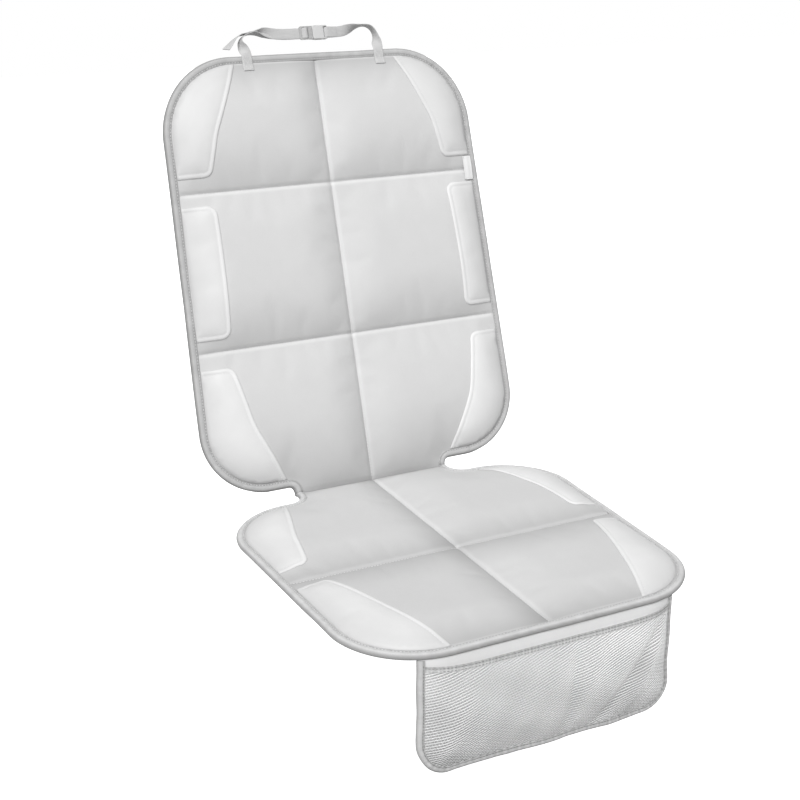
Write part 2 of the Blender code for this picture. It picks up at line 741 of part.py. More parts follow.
def box(low, high):
    bm = bmesh.new()
    bmesh.ops.create_cube(bm, size=1)
    for vert in bm.verts:
        vert.co = Vector([low[i] if vert.co[i] < 0 else high[i] for i in range(3)])
    return bm


def plate(outline, low, high):
    """Upright walls on a closed outline, with flat faces below and above."""
    bm = bmesh.new()
    face = bm.faces.new([bm.verts.new((x, y, low)) for x, y in outline])
    extruded = bmesh.ops.extrude_face_region(bm, geom=[face])
    for item in extruded["geom"]:
        if isinstance(item, bmesh.types.BMVert):
            item.co.z = high
    return bm


def rounded_rectangle(low, high, radius, steps):
    (x0, y0), (x1, y1) = low, high
    points = arc(x1 - radius, y0 + radius, radius, -90, 0, steps)
    points += arc(x1 - radius, y1 - radius, radius, 0, 90, steps)
    points += arc(x0 + radius, y1 - radius, radius, 90, 180, steps)
    points += arc(x0 + radius, y0 + radius, radius, 180, 270, steps)
    return points


def cut(thing, name, bm, look, parent, operation="DIFFERENCE"):
    """Cut one object with another shape, or add that shape to it."""
    tool = add_object(name, bm, look, parent)
    tool.hide_render = True
    tool.display_type = "WIRE"
    modifier = thing.modifiers.new(name, "BOOLEAN")
    modifier.operation = operation
    modifier.object = tool


def soften(thing, width):
    modifier = thing.modifiers.new("soften", "BEVEL")
    modifier.width = width
    modifier.segments = 2
    modifier.limit_method = "ANGLE"


def make_socket(look, parent):
    """Hollow half of the buckle, with side windows for the prongs and a bar for the webbing."""
    half = SOCKET_WIDTH / 2
    deep = SOCKET_THICK / 2
    end = BUCKLE_HALF
    slot_end = end - SOCKET_BAR
    slot_start = slot_end - SOCKET_SLOT
    inside = half - SOCKET_WALL
    outline = rounded_rectangle((SOCKET_START, -half), (end, half), SOCKET_CORNER, 3)
    socket = add_object("buckle_socket", plate(outline, -deep, deep), look, parent)
    soften(socket, BUCKLE_EDGE)
    hollow = box((SOCKET_START - CUT_PAST, -inside, -deep + SOCKET_WALL),
                 (slot_start - SOCKET_WALL, inside, deep - SOCKET_WALL))
    cut(socket, "socket_hollow", hollow, look, parent)
    window = box((WINDOW_START, -half - CUT_PAST, -WINDOW_HALF),
                 (WINDOW_END, half + CUT_PAST, WINDOW_HALF))
    cut(socket, "socket_windows", window, look, parent)
    slot = box((slot_start, -SLOT_WIDTH / 2, -deep - CUT_PAST),
               (slot_end, SLOT_WIDTH / 2, deep + CUT_PAST))
    cut(socket, "socket_slot", slot, look, parent)
    for side in (1, -1):
        low, high = sorted((side * BAR_THICK / 2, side * (deep + CUT_PAST)))
        slim = box((slot_end - 0.0005, -SLOT_WIDTH / 2, low),
                   (end + CUT_PAST, SLOT_WIDTH / 2, high))
        cut(socket, f"socket_bar_relief_{'front' if side > 0 else 'rear'}", slim, look, parent)


def plug_outline():
    """Frame, grip, two sprung prongs with barbs and a middle guide, seen from the front."""
    half = PLUG_WIDTH / 2
    start = -BUCKLE_HALF
    neck = SOCKET_START - GAP
    tip = SOCKET_START + PRONG_REACH
    barb = SOCKET_WIDTH / 2 - SOCKET_WALL - PRONG_CLEAR + BARB_REACH
    root = PRONG_ROOT
    upper = [(neck, half), (neck, root), (0.0010, root), (0.0026, barb - 0.0010),
             (0.0050, barb), (0.0088, barb), (tip, root - 0.0006), (tip, root - PRONG_WIDTH),
             (0.0040, root - PRONG_WIDTH), (neck, root - PRONG_WIDTH - 0.0004),
             (neck, 0.0014), (tip - 0.0008, 0.0012)]
    upper = [(start + 0.0015, half)] + upper
    return [(start, half - 0.0015)] + upper + [(x, -y) for x, y in reversed(upper)] + [
        (start, 0.0015 - half)]


def make_plug(look, parent):
    """Pronged half of the buckle, with two bars that the webbing is threaded round."""
    half = SLOT_WIDTH / 2
    first = -BUCKLE_HALF + BAR_LENGTH
    second = first + SLOT_NEAR + BAR_LENGTH
    grip = second + SLOT_FAR
    neck = SOCKET_START - GAP
    flat = PLUG_THICK / 2
    plug = add_object("buckle_plug", plate(plug_outline(), -flat, flat), look, parent)
    deep = PLUG_GRIP_THICK / 2
    side = PLUG_WIDTH / 2 - 0.0003
    block = box((grip + 0.0002, -side, -deep), (neck, side, deep))
    cut(plug, "plug_grip", block, look, parent, "UNION")
    for name, low in (("plug_slot_near", first), ("plug_slot_far", second)):
        length = SLOT_NEAR if low == first else SLOT_FAR
        hole = box((low, -half, -flat - CUT_PAST), (low + length, half, flat + CUT_PAST))
        cut(plug, name, hole, look, parent)
    for face in (1, -1):
        low, high = sorted((face * BAR_THICK / 2, face * (flat + CUT_PAST)))
        slim = box((-BUCKLE_HALF - CUT_PAST, -half, low), (grip - 0.0001, half, high))
        cut(plug, f"plug_bar_relief_{'front' if face > 0 else 'rear'}", slim, look, parent)
        for i in range(GRIP_GROOVES):
            x = grip + GROOVE_START + i * GROOVE_STEP
            low, high = sorted((face * (deep - GROOVE_DEPTH), face * (deep + CUT_PAST)))
            groove = box((x, -half - CUT_PAST, low), (x + GROOVE_WIDTH, half + CUT_PAST, high))
            cut(plug, f"plug_groove_{'front' if face > 0 else 'rear'}_{i}", groove, look, parent)


def make_label(look, parent):
    """Blank woven label sewn in at the right binding, over the upper seam."""
    share = (BACK_SEAM_HIGH - BACK_LOBE) / (BACK_LENGTH - BACK_LOBE)
    edge = BACK_HALF_LOW + (BACK_HALF_HIGH - BACK_HALF_LOW) * share
    right = edge - BINDING_WIDTH + LABEL_OVERHANG
    middle = BACK_SEAM_HIGH + 0.0020
    outline = rounded_rectangle((right - LABEL_WIDTH, middle - LABEL_LENGTH / 2),
                                (right, middle + LABEL_LENGTH / 2), LABEL_CORNER, 2)
    bm = plate(outline, GAP, GAP + LABEL_THICK)
    add_object("side_label", bm, look, parent)


def pocket_outline(inset):
    """Down the right side, round the lower corners and up the left, in the pocket's frame."""
    top = -(SEAT_DEPTH + GAP)
    side = POCKET_HALF - inset
    radius = POCKET_CORNER - inset
    bottom = -POCKET_DROP + inset
    points = [(side, top)]
    points += arc(side - radius, bottom + radius, radius, 0, -90, 6)
    straight = SEAT_HALF_FRONT - SEAT_CORNER_FRONT
    if straight < POCKET_HALF - POCKET_CORNER:
        points += [(straight, bottom), (-straight, bottom)]
    points += arc(-side + radius, bottom + radius, radius, -90, -180, 6)
    return points + [(-side, top)]


def front_curve(x):
    """How far the seat's front edge has curved back at a given distance from its middle."""
    radius = SEAT_CORNER_FRONT - POCKET_SETBACK
    over = abs(x) - (SEAT_HALF_FRONT - SEAT_CORNER_FRONT)
    if over <= 0:
        return 0.0
    return -(radius - math.sqrt(radius * radius - over * over))


def net_level(x, t):
    """How far the net stands off the pocket's panel."""
    away = distance_to(pocket_outline(0), x, t) - POCKET_BINDING_WIDTH
    mouth = max(0, 1 - (-MOUTH_DROP - t) / MOUTH_REACH)
    return GAP + POCKET_DEPTH * roll(away, POCKET_ROLL) * (1 - MOUTH_DRAW * mouth)


def clip_top(outline, level):
    """Keep the part of the pocket's outline that lies below a level."""
    (side, _), (other, _) = outline[0], outline[-1]
    return [(side, level)] + outline[1:-1] + [(other, level)]


def pocket_lines():
    """Positions across where the pocket's sheets bend back with the seat's corners."""
    start = SEAT_HALF_FRONT - SEAT_CORNER_FRONT
    lip = POCKET_HALF - POCKET_BINDING_WIDTH
    count = math.ceil((lip - start) / BEND_STEP)
    bends = [start + (lip - start) * i / count for i in range(count + 1)]
    return [-x for x in reversed(bends)] + bends


def uprights(lines_x, top):
    return [[(x, top), (x, -POCKET_DROP)] for x in lines_x]


def make_pocket(looks, parent):
    """Panel, net, elastic hem and the tape that joins them round three sides."""
    tuck = POCKET_BINDING_WALL + GAP
    bends = pocket_lines()
    start = bends[len(bends) // 2]
    middle = [start * k / 5 for k in range(-4, 5)]

    edge = pocket_outline(tuck)
    plan = triangles_between([closed(edge)] + uprights(bends, edge[0][1]), [])
    panel = thicken(plan_mesh(plan), lambda x, t: front_curve(x) - POCKET_SHEET,
                    lambda x, t: front_curve(x))
    add_object("pocket_back", panel, looks["pocket"], parent)

    def net_under(x, t):
        return front_curve(x) + net_level(x, t)

    net_top = -MOUTH_DROP - HEM_HEIGHT - GAP
    runs = [divided(closed(clip_top(pocket_outline(tuck), net_top))),
            divided(clip_top(pocket_outline(POCKET_BINDING_WIDTH), net_top))]
    levels = [net_top - (POCKET_DROP + net_top) * k / 6 for k in range(1, 6)]
    spots = free_spots(runs, bends + middle, levels)
    plan = triangles_between(runs + uprights(bends, net_top), spots)
    net = thicken(plan_mesh(plan), net_under, lambda x, t: net_under(x, t) + POCKET_NET)
    add_object("pocket_mesh", net, looks["net"], parent)

    side = POCKET_HALF - POCKET_BINDING_WIDTH - GAP
    base = -MOUTH_DROP - HEM_HEIGHT
    across = sorted([-side, side] + bends[1:-1] + middle)
    band = [(x, -MOUTH_DROP) for x in across] + [(x, base) for x in reversed(across)]
    plan = triangles_between([closed(band)], [])
    hem = thicken(plan_mesh(plan), net_under, lambda x, t: net_under(x, t) + HEM_THICK)
    add_object("pocket_hem", hem, looks["binding"], parent)

    top = GAP + POCKET_NET + GAP + POCKET_BINDING_WALL
    bottom = -POCKET_SHEET - GAP - POCKET_BINDING_WALL
    section = binding_section(top, bottom, POCKET_BINDING_WIDTH, POCKET_BINDING_WALL)
    tape = [[(x, t, n) for x, t in pocket_outline(inset)] for inset, n in section]
    add_object("pocket_binding", loft(tape, level=front_curve), looks["binding"], parent)


def build():
    clear_scene()
    looks = {
        "cover": material("cover", (0.66, 0.66, 0.67), 0.85),
        "foam": material("foam", (0.80, 0.79, 0.74), 0.95),
        "lining": material("lining", (0.30, 0.30, 0.31), 0.90),
        "binding": material("binding", (0.52, 0.52, 0.53), 0.80),
        "patch": material("patch", (0.83, 0.83, 0.83), 0.45),
        "webbing": material("webbing", (0.55, 0.55, 0.55), 0.75),
        "buckle": material("buckle", (0.70, 0.70, 0.70), 0.35),
        "label": material("label", (0.86, 0.86, 0.86), 0.70),
        "pocket": material("pocket", (0.74, 0.74, 0.75), 0.85),
        "net": material("net", (0.60, 0.60, 0.61), 0.80),
    }
    frames = {
        "back": frame("back_frame", (0, FOLD_Y, FOLD_Z), (math.radians(90 - BACK_LEAN), 0, 0)),
        "seat": frame("seat_frame", (0, FOLD_Y, FOLD_Z), (0, 0, math.pi)),
    }
    make_panels(looks, frames)
    make_label(looks["label"], frames["back"])
    make_straps(looks["webbing"], frames["back"])
    place = (BUCKLE_X, BACK_LENGTH + STRAP_RISE, BUCKLE_N)
    buckle = frame("buckle_frame", place, (0, 0, 0), frames["back"])
    make_socket(looks["buckle"], buckle)
    make_plug(looks["buckle"], buckle)
    front = (0, FOLD_Y - SEAT_LENGTH + POCKET_SETBACK, FOLD_Z)
    make_pocket(looks, frame("pocket_frame", front, (math.pi / 2, 0, 0)))


build()
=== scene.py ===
"""Looks of the car seat protector mat: quilting, patches, tape, webbing and pocket.

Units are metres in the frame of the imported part: +Z up, -Y towards the front of the seat.
Each panel is drawn in its own plane first: x across, t away from the fold, n out of its face.
"""
import json
import math

import bpy
import numpy as np
from mathutils import Matrix, Vector
from mathutils.geometry import delaunay_2d_cdt

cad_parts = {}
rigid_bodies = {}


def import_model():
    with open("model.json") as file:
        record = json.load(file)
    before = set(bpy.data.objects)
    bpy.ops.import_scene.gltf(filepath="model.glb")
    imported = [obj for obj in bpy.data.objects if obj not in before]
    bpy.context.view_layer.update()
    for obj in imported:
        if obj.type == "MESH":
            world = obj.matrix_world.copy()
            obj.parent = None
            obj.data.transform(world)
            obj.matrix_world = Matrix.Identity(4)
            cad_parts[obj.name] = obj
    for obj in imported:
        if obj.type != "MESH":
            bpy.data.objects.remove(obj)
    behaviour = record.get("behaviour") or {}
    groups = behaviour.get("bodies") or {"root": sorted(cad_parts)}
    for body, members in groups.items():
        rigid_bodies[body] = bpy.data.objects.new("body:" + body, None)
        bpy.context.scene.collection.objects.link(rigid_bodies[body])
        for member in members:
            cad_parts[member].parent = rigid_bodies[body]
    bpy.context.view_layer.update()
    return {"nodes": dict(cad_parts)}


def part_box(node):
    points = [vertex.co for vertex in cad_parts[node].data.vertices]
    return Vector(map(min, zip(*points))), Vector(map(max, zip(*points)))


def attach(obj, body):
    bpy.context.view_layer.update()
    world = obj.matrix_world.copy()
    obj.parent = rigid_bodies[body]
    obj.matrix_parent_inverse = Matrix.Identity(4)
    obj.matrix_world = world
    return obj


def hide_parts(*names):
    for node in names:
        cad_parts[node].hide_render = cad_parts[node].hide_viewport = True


# Camera of the photograph, which is 800 pixels square
CAMERA_PLACE = (-0.80101, -1.43420, 0.78962)
CAMERA_AZIMUTH = -26.759
CAMERA_ELEVATION = 19.722
CAMERA_ROLL = 0.039
CAMERA_LENS = 63.348
SENSOR = 36.0

# Light
SKY_STRENGTH = 0.45
KEY_STRENGTH = 2.45
KEY_AZIMUTH = -38.0
KEY_ELEVATION = 46.0
KEY_SPREAD = 30.0
FLOOR_LEVEL = -0.80
FLOOR_SIZE = 24.0
FLOOR_BOUNCE = 0.35            # how pale the floor is to the light that it sends back
FLOOR_PALE = 0.82              # how pale it is to the camera
FLOOR_GLOW = 0.75
WHITE = (1, 1, 1, 1)

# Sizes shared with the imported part
GAP = 0.0003
BINDING_WALL = 0.0010
BINDING_WIDTH = 0.0110
LINING_THICK = 0.0010
WAIST_HALF = 0.1185
BACK_LEAN = math.radians(17.56)
SEAT_LENGTH = 0.4805
SEAT_DEPTH = 0.0070
LINING_LEVEL = BINDING_WALL + GAP
TOP_EDGE = -LINING_LEVEL
FOLD_Y = SEAT_LENGTH / 2
FOLD_Z = SEAT_DEPTH - LINING_LEVEL
MITRE = math.tan((math.pi / 2 - BACK_LEAN) / 2)
MITRE_REACH = 0.014

BACK = {"name": "back", "length": 0.6055, "depth": 0.0090, "lobe": 0.0095, "notch": 0.0075,
        "near": 0.2436, "far": 0.2331, "near_corner": 0.0887, "far_corner": 0.1090,
        "seams": (0.2090, 0.4239), "crown": 0.0145}
SEAT = {"name": "seat", "length": SEAT_LENGTH, "depth": SEAT_DEPTH, "lobe": 0.0283,
        "notch": 0.0220, "near": 0.2480, "far": 0.2385, "near_corner": 0.0997,
        "far_corner": 0.1074, "seams": (0.2482,), "crown": 0.0125}

POCKET = {"name": "pocket"}    # its plane bends, so its sizes have names of their own below
EDGE_STEP = 0.0080             # between points of an outline that distances are measured from

# Quilting: width and power of each roll down to a seam
CENTRE_ROLL = (0.060, 2.4)
EDGE_ROLL = (0.060, 2.0)
BACK_ROLLS = ((0.092, 2.6), (0.130, 1.9))      # above a cross seam, below a cross seam
SEAT_ROLLS = ((0.085, 2.2), (0.085, 2.2))
STEP = (0.0042, 2.0)           # short steep rise on the side of a seam that catches the light
STEP_SHARE = 0.11
CHANNEL_DEPTH = 0.0016
CHANNEL_WIDTH = 0.0032
LIT_SHARE = 0.07               # light line on one side of each seam
LIT_OFFSET = 0.0026
LIT_WIDTH = 0.0020
PUCKER = 0.00022
PUCKER_PITCH = 0.0125
PUCKER_REACH = 0.011
QUILT_STEP = 0.0042
SEAM_OFFSETS = (0.0006, 0.0013, 0.0022, 0.0034, 0.0050, 0.0070, 0.0096)
SEAM_REACH = 0.26              # further from the middle than any cross seam goes

# Cloth simulation of the quilted face
SIM_STEP = 0.0075
SIM_FRAMES = 20
SIM_START = 0.80
SIM_CAP = 0.0040
SIM_MARGIN = 0.025             # width beside the tape over which the simulated rise sets in
SIM_CLOTH = {"vertex_group_mass": "held", "quality": 6, "mass": 0.25, "tension_stiffness": 14,
             "compression_stiffness": 14, "shear_stiffness": 6, "bending_stiffness": 1.2,
             "air_damping": 4, "shrink_min": -0.006, "use_pressure": True,
             "uniform_pressure_force": 3.0}

# Binding tape: uneven tone along it, and its thread
TAPE_MOTTLE = 0.035
TAPE_SHIFT = 0.00022           # how far the tape strays from the edge
TAPE_PUFF = 0.00012
TAPE_CORNER_PUFF = 0.00022
THREAD_SHARE = 0.81            # share of the tape's width at which its thread runs
THREAD_SINK = 0.0002

# Thread: place along a stitch, width and lift of each ring of points
STITCH = ((-0.5, 0.35, -0.6), (-0.32, 0.95, 0.1), (0, 1.1, 0.35), (0.32, 0.95, 0.1), (0.5, 0.35, -0.6))

# Patches: rows of points along the raised inner edge, and its heights by distance from it
PATCH_RINGS = (0.0, 0.0005, 0.0012, 0.0022, 0.0034, 0.0046, 0.0055, 0.0063, 0.0078, 0.0105)
PATCH_HEIGHTS = ((0.0, 0.0005, 0.0012, 0.0022, 0.0034, 0.0046, 0.0056, 0.0064, 0.0080, 0.0115, 0.022),
                 (0.0004, 0.0009, 0.0014, 0.0017, 0.0018, 0.0017, 0.0014, 0.0014, 0.0019, 0.0026, 0.0034))
PATCH_SPOT = 0.0055
PATCH_MARGIN = 0.003           # free of points between the rim's rows and the field

LABEL_SHIFT = 0.0040           # how much further in the label lies than its solid
LABEL_HALF = 0.0170
LABEL_THICK = 0.0007
LABEL_FLOOR = 0.0008           # level of the tape under the label

# Webbing and buckle
STRAP_WIDTH = 0.0148
STRAP_THICK = 0.0012
STRAP_RISE = 0.0275
STRAP_LEFT = -0.1010
STRAP_RIGHT = 0.0990
TAB_LENGTH = 0.0210
TAIL_SPACE = 0.00155
BUCKLE_X = 0.0040
BUCKLE_N = -0.0025
BUCKLE_HALF = 0.0205
BAR_THICK = 0.0024
BAR_LENGTH = 0.0022
SOCKET_BAR = 0.0022
SLOT_NEAR = 0.0054
TURN_SHIFT = 0.0006
BAR_BEND = BAR_THICK / 2 + GAP + STRAP_THICK / 2
STRAP_REST = STRAP_THICK / 2 + 0.0004          # over the quilt where the webbing is sewn on
STRAP_FLOOR = GAP + STRAP_THICK / 2 + 0.0008   # over the tape
STRAP_SECTION = ((-1, 0), (-0.985, 0.75), (-0.90, 1), (-0.45, 1), (0, 1), (0.45, 1), (0.90, 1),
                 (0.985, 0.75), (1, 0))

# Pocket
POCKET_HALF = 0.1733
POCKET_TOP = -(SEAT_DEPTH + GAP)
POCKET_DROP = 0.1565
POCKET_CORNER = 0.0390
POCKET_SETBACK = 0.0025
POCKET_SHEET = 0.0012
POCKET_WALL = 0.0008
POCKET_TAPE = 0.0085
POCKET_DEPTH = 0.0150
POCKET_ROLL = 0.0750
MOUTH_DRAW = 0.35              # share by which the elastic mouth draws the net in
MOUTH_REACH = 0.0550
MOUTH_DROP = 0.0157
HEM_HEIGHT = 0.0066
HEM_THICK = 0.0018
HEM_RISE = HEM_THICK * 0.62
NET_PITCH = 0.0033
NET_STRAND = 0.00058
NET_WEAVE = 0.00022            # how far a strand goes over and under the others
NET_RISE = 0.0004
NET_MIDDLE = (0, -0.08)
NET_ANGLES = (20.0, 112.0)
BEHIND_NET = (0.83, 0.95)      # least and most of the light that the net lets through
# Creases of the net: place, lean, width and height
NET_CREASES = ((0.022, 0.10, 0.0090, -0.0042), (0.046, 0.30, 0.011, 0.0022),
               (-0.062, -0.40, 0.016, -0.0030), (0.112, 0.80, 0.010, -0.0045),
               (0.136, 0.60, 0.009, 0.0024), (-0.125, 0.6, 0.014, 0.0022), (-0.020, 0.9, 0.018, 0.0016))
# Painted light and shade on the net: centre, width, height and share
NET_LIGHT_AND_SHADE = ((-0.145, -0.143, 0.050, 0.020, -0.10), (0.080, -0.048, 0.060, 0.026, 0.11),
             (0.118, -0.085, 0.012, 0.045, -0.07), (0.137, -0.075, 0.008, 0.050, 0.06))


# Curves in a plane

def arc(cx, cy, radius, start, end, step=0.002):
    """Points on a circle from one angle to another, in degrees."""
    count = max(5, math.ceil(abs(math.radians(end - start)) * radius / step))
    angles = np.radians(np.linspace(start, end, count + 1))
    return [(cx + radius * math.cos(a), cy + radius * math.sin(a)) for a in angles]


def fillet(before, corner, after, radius):
    """An arc that touches both sides of a polygon's corner."""
    here = Vector(corner)
    one = (Vector(before) - here).normalized()
    two = (Vector(after) - here).normalized()
    half = one.angle(two) / 2
    reach = radius / math.tan(half)
    middle = here + (one + two).normalized() * (radius / math.sin(half))
    first = here + one * reach - middle
    last = here + two * reach - middle
    count = max(4, math.ceil((math.pi - 2 * half) * radius / 0.002))
    return [tuple(middle + first.lerp(last, i / count).normalized() * radius)
            for i in range(count + 1)]


def along(run):
    legs = np.linalg.norm(np.diff(run, axis=0), axis=1)
    return np.concatenate([[0], np.cumsum(legs)])


def picked(want, length, run):
    """Points of a run at wanted lengths along it."""
    return np.stack([np.interp(want, length, column) for column in run.T], axis=1)


def even(points, step):
    """The same run with points at even spacing."""
    run = np.array(points, float)
    length = along(run)
    return picked(np.linspace(0, length[-1], max(2, round(length[-1] / step)) + 1), length, run)


def unit(vectors):
    return vectors / np.maximum(np.linalg.norm(vectors, axis=-1, keepdims=True), 1e-12)


def left_of(run, smooth=0):
    """Unit vectors to the left of a run of points in a plane."""
    way = unit(np.gradient(run, axis=0))
    side = np.stack([-way[:, 1], way[:, 0]], axis=1)
    for _ in range(smooth):
        side[1:-1] = unit(side[:-2] + 2 * side[1:-1] + side[2:])
    return side


def closed(run):
    return np.vstack([run, run[:1]])


def circle(count):
    angles = np.linspace(0, 2 * math.pi, count + 1)[:-1]
    return np.stack([np.cos(angles), np.sin(angles)], axis=1)


def rectangle(x1, t1, x2, t2):
    """Closed run round a rectangle."""
    return np.array([(x1, t1), (x2, t1), (x2, t2), (x1, t2), (x1, t1)])


def sine(value, pitch, phase=0.0):
    return np.sin(value * 2 * math.pi / pitch + phase)


def nearest(run, points):
    """From each point, the way to the closest place of a run."""
    best = np.full(points.shape, 1e9)
    for start, step in zip(run[:-1], np.diff(run, axis=0)):
        share = np.clip((points - start) @ step / max(step @ step, 1e-18), 0, 1)
        way = start + share[:, None] * step - points
        closer = (way * way).sum(axis=1) < (best * best).sum(axis=1)
        best[closer] = way[closer]
    return best


def distance(run, points):
    return np.linalg.norm(nearest(run, points), axis=1)


def inside(run, points):
    """Which points lie inside a closed run."""
    odd = np.zeros(len(points), bool)
    x, t = points[:, 0], points[:, 1]
    for (x1, t1), (x2, t2) in zip(run[:-1], run[1:]):
        if t1 == t2:
            continue
        crosses = (t1 > t) != (t2 > t)
        odd ^= crosses & (x < x1 + (x2 - x1) * (t - t1) / (t2 - t1))
    return odd


def roll(d, shape):
    """Rise from 0 at a seam to 1 at the given width, steep first and level last."""
    width, power = shape
    return 1 - (1 - np.clip(d / width, 0, 1)) ** power


# Panels

def panel_outline(panel, inset=0.0):
    """Outer edge moved inwards, from the fold up the right side and down the left."""
    notch, near, far = panel["notch"], panel["near_corner"], panel["far_corner"]
    right = [(WAIST_HALF - inset, 0)]
    right += arc(WAIST_HALF + notch, panel["lobe"] - notch, notch + inset, 180, 90)
    right += arc(panel["near"] - near, panel["lobe"] + near, near - inset, -90, 0)
    right += arc(panel["far"] - far, panel["length"] - far, far - inset, 0, 90)
    return np.array(right + [(-x, t) for x, t in reversed(right)])


def off_edge(panel, points):
    """Distance from each point to the panel's outer edge."""
    return distance(even(panel_outline(panel), EDGE_STEP), points)


def place(panel, points):
    """Points of a panel, as x, t and n, in the frame of the part."""
    if panel is POCKET:
        return pocket_place(points)
    x, t, n = np.array(points, float).T
    t = t + n * MITRE * np.clip(1 - t / MITRE_REACH, 0, 1) + GAP / 2 * (t < MITRE_REACH / 2)
    if panel is SEAT:
        return np.stack([x, FOLD_Y - t, FOLD_Z + n], axis=1)
    lean, rise = math.sin(BACK_LEAN), math.cos(BACK_LEAN)
    return np.stack([x, FOLD_Y + t * lean - n * rise, FOLD_Z + t * rise + n * lean], axis=1)


def on_panel(panel, run, heights):
    """A run at some height over a panel's plane: its places and outward normals."""
    points = np.column_stack([run, np.broadcast_to(heights, len(run))])
    here = place(panel, points)
    return here, place(panel, points + (0, 0, 0.001)) - here


# Meshes

def mesh_object(name, points, faces, look, uv=None, flip=False, sharp=None, tone=None):
    """A smooth mesh object. uv gives metres along and across the cloth at each point."""
    mesh = bpy.data.meshes.new(name)
    if flip:
        faces = [tuple(reversed(face)) for face in faces]
    mesh.from_pydata([tuple(p) for p in np.asarray(points, float)], [], [tuple(f) for f in faces])
    if uv is not None:
        layer = mesh.uv_layers.new(name="metres")
        index = np.zeros(len(mesh.loops), int)
        mesh.loops.foreach_get("vertex_index", index)
        layer.data.foreach_set("uv", np.asarray(uv, float)[index].ravel())
    # The tone attribute carries painted light and shade, with some uneven tone of the cloth; the materials
    # multiply their grey by it.
    if tone is not None:
        layer = mesh.attributes.new("tone", "FLOAT", "POINT")
        layer.data.foreach_set("value", np.asarray(tone, float))
    mesh.shade_smooth()
    if sharp is not None:
        mesh.set_sharp_from_angle(angle=math.radians(sharp))
    mesh.materials.append(look)
    thing = bpy.data.objects.new(name, mesh)
    bpy.context.scene.collection.objects.link(thing)
    return thing


def piece(name, slot, nodes, points, faces, look, **more):
    """A finished piece on the part's body, in the place of CAD nodes."""
    thing = mesh_object(name, points, faces, look, **more)
    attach(thing, "root")
    if nodes:
        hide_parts(*nodes)
    return thing


def panel_piece(panel, name, slot, nodes, places, faces, look, **more):
    """A piece drawn in a panel's plane, with cloth that runs along the panel."""
    more = {"uv": places[:, :2], "flip": panel is not BACK, **more}
    return piece(name, slot, nodes, place(panel, places), faces, look, **more)


def lines_between(marks, step, offsets=()):
    """Grid lines: every mark, finer lines beside it, and even ones between."""
    lines = []
    for low, high in zip(marks[:-1], marks[1:]):
        first = [low] + [low + o for o in offsets]
        last = [high - o for o in reversed(offsets)]
        room = last[0] - first[-1] if last else high - first[-1]
        count = max(1, round(room / step))
        lines += first + [first[-1] + room * i / count for i in range(1, count)] + last
    return np.array(lines + [marks[-1]])


def rim_of(faces):
    """Points round the open rim of some faces, in order."""
    edges = {(a, b) for face in faces for a, b in zip(face, face[1:] + face[:1])}
    following = {a: b for a, b in sorted(edges) if (b, a) not in edges}
    rim = [next(iter(following))]
    while following[rim[-1]] != rim[0]:
        rim.append(following[rim[-1]])
    return rim


def grid_plan(lines_x, lines_t, edge):
    """Quads of a grid inside a closed run, their rim moved onto it: points, quads, rim, slots."""
    wide = len(lines_x)
    x, t = np.meshgrid(lines_x, lines_t)
    points = np.stack([x.ravel(), t.ravel()], axis=1)
    first = np.arange(x.size).reshape(x.shape)[:-1, :-1].reshape(-1, 1)
    quads = first + (0, 1, wide + 1, wide)
    quads = quads[inside(edge, points[quads].mean(axis=1))]
    used, quads = np.unique(quads, return_inverse=True)
    quads = [tuple(quad) for quad in quads.reshape(-1, 4).tolist()]
    points = points[used]
    rim = rim_of(quads)
    points[rim] += nearest(edge, points[rim])
    return points, quads, rim, used


def body_of(points, faces, rim, top, base):
    """Closed body: a top face over one flat face below, which has the rim's points alone."""
    upper = np.column_stack([points, top])
    lower = np.column_stack([points[rim], np.full(len(rim), base)])
    below = list(range(len(upper), len(upper) + len(rim)))
    walls = zip(below, below[1:] + below[:1], rim[1:] + rim[:1], rim)
    return np.vstack([upper, lower]), [*faces, *walls, tuple(reversed(below))]


def shell(points, faces, top, under):
    """Closed sheet between two heights over one set of faces."""
    count = len(points)
    rim = rim_of(faces)
    lower = [tuple(count + k for k in reversed(face)) for face in faces]
    walls = [(count + a, count + b, b, a) for a, b in zip(rim, rim[1:] + rim[:1])]
    places = np.vstack([np.column_stack([points, top]), np.column_stack([points, under])])
    return places, [*faces, *lower, *walls]


def tube(rings, spokes, start=0):
    """Faces of a closed tube whose points come ring after ring, with a cap at each end."""
    faces = []
    for a in range(start, start + (rings - 1) * spokes, spokes):
        for k in range(spokes):
            b = a + (k + 1) % spokes
            faces.append((a + k, a + k + spokes, b + spokes, b))
    end = start + rings * spokes
    return [*faces, tuple(range(start, start + spokes)), tuple(range(end - 1, end - 1 - spokes, -1))]


# Thread

def stitches(name, slot, look, runs, pitch=0.0042, length=0.0029, radius=0.00034):
    """Short thread stitches laid along runs of points and outward normals, as one piece."""
    share, wide, lift = np.array(STITCH).T[:, :, None]
    x, y = circle(len(STITCH)).T[:, :, None]
    places = []
    for points, normals in runs:
        at = along(points)
        centres = np.arange(pitch / 2, at[-1], pitch)
        low, high = (picked(centres + reach, at, points)[:, None] for reach in (-length / 2, length / 2))
        up = unit(picked(centres, at, unit(normals)))[:, None]
        way = unit(high - low)
        spine = (low + high) / 2 + way * length * share + up * radius * lift
        spokes = np.cross(way, up) * x + up * y
        made = spine[:, :, None] + spokes[:, None] * radius * wide[:, None]
        places.append(made.reshape(-1, 3))
    places = np.vstack(places)
    starts = range(0, len(places), len(STITCH) ** 2)
    faces = [face for start in starts for face in tube(len(STITCH), len(STITCH), start)]
    return piece(name, slot, (), places, faces, look)


# Quilting

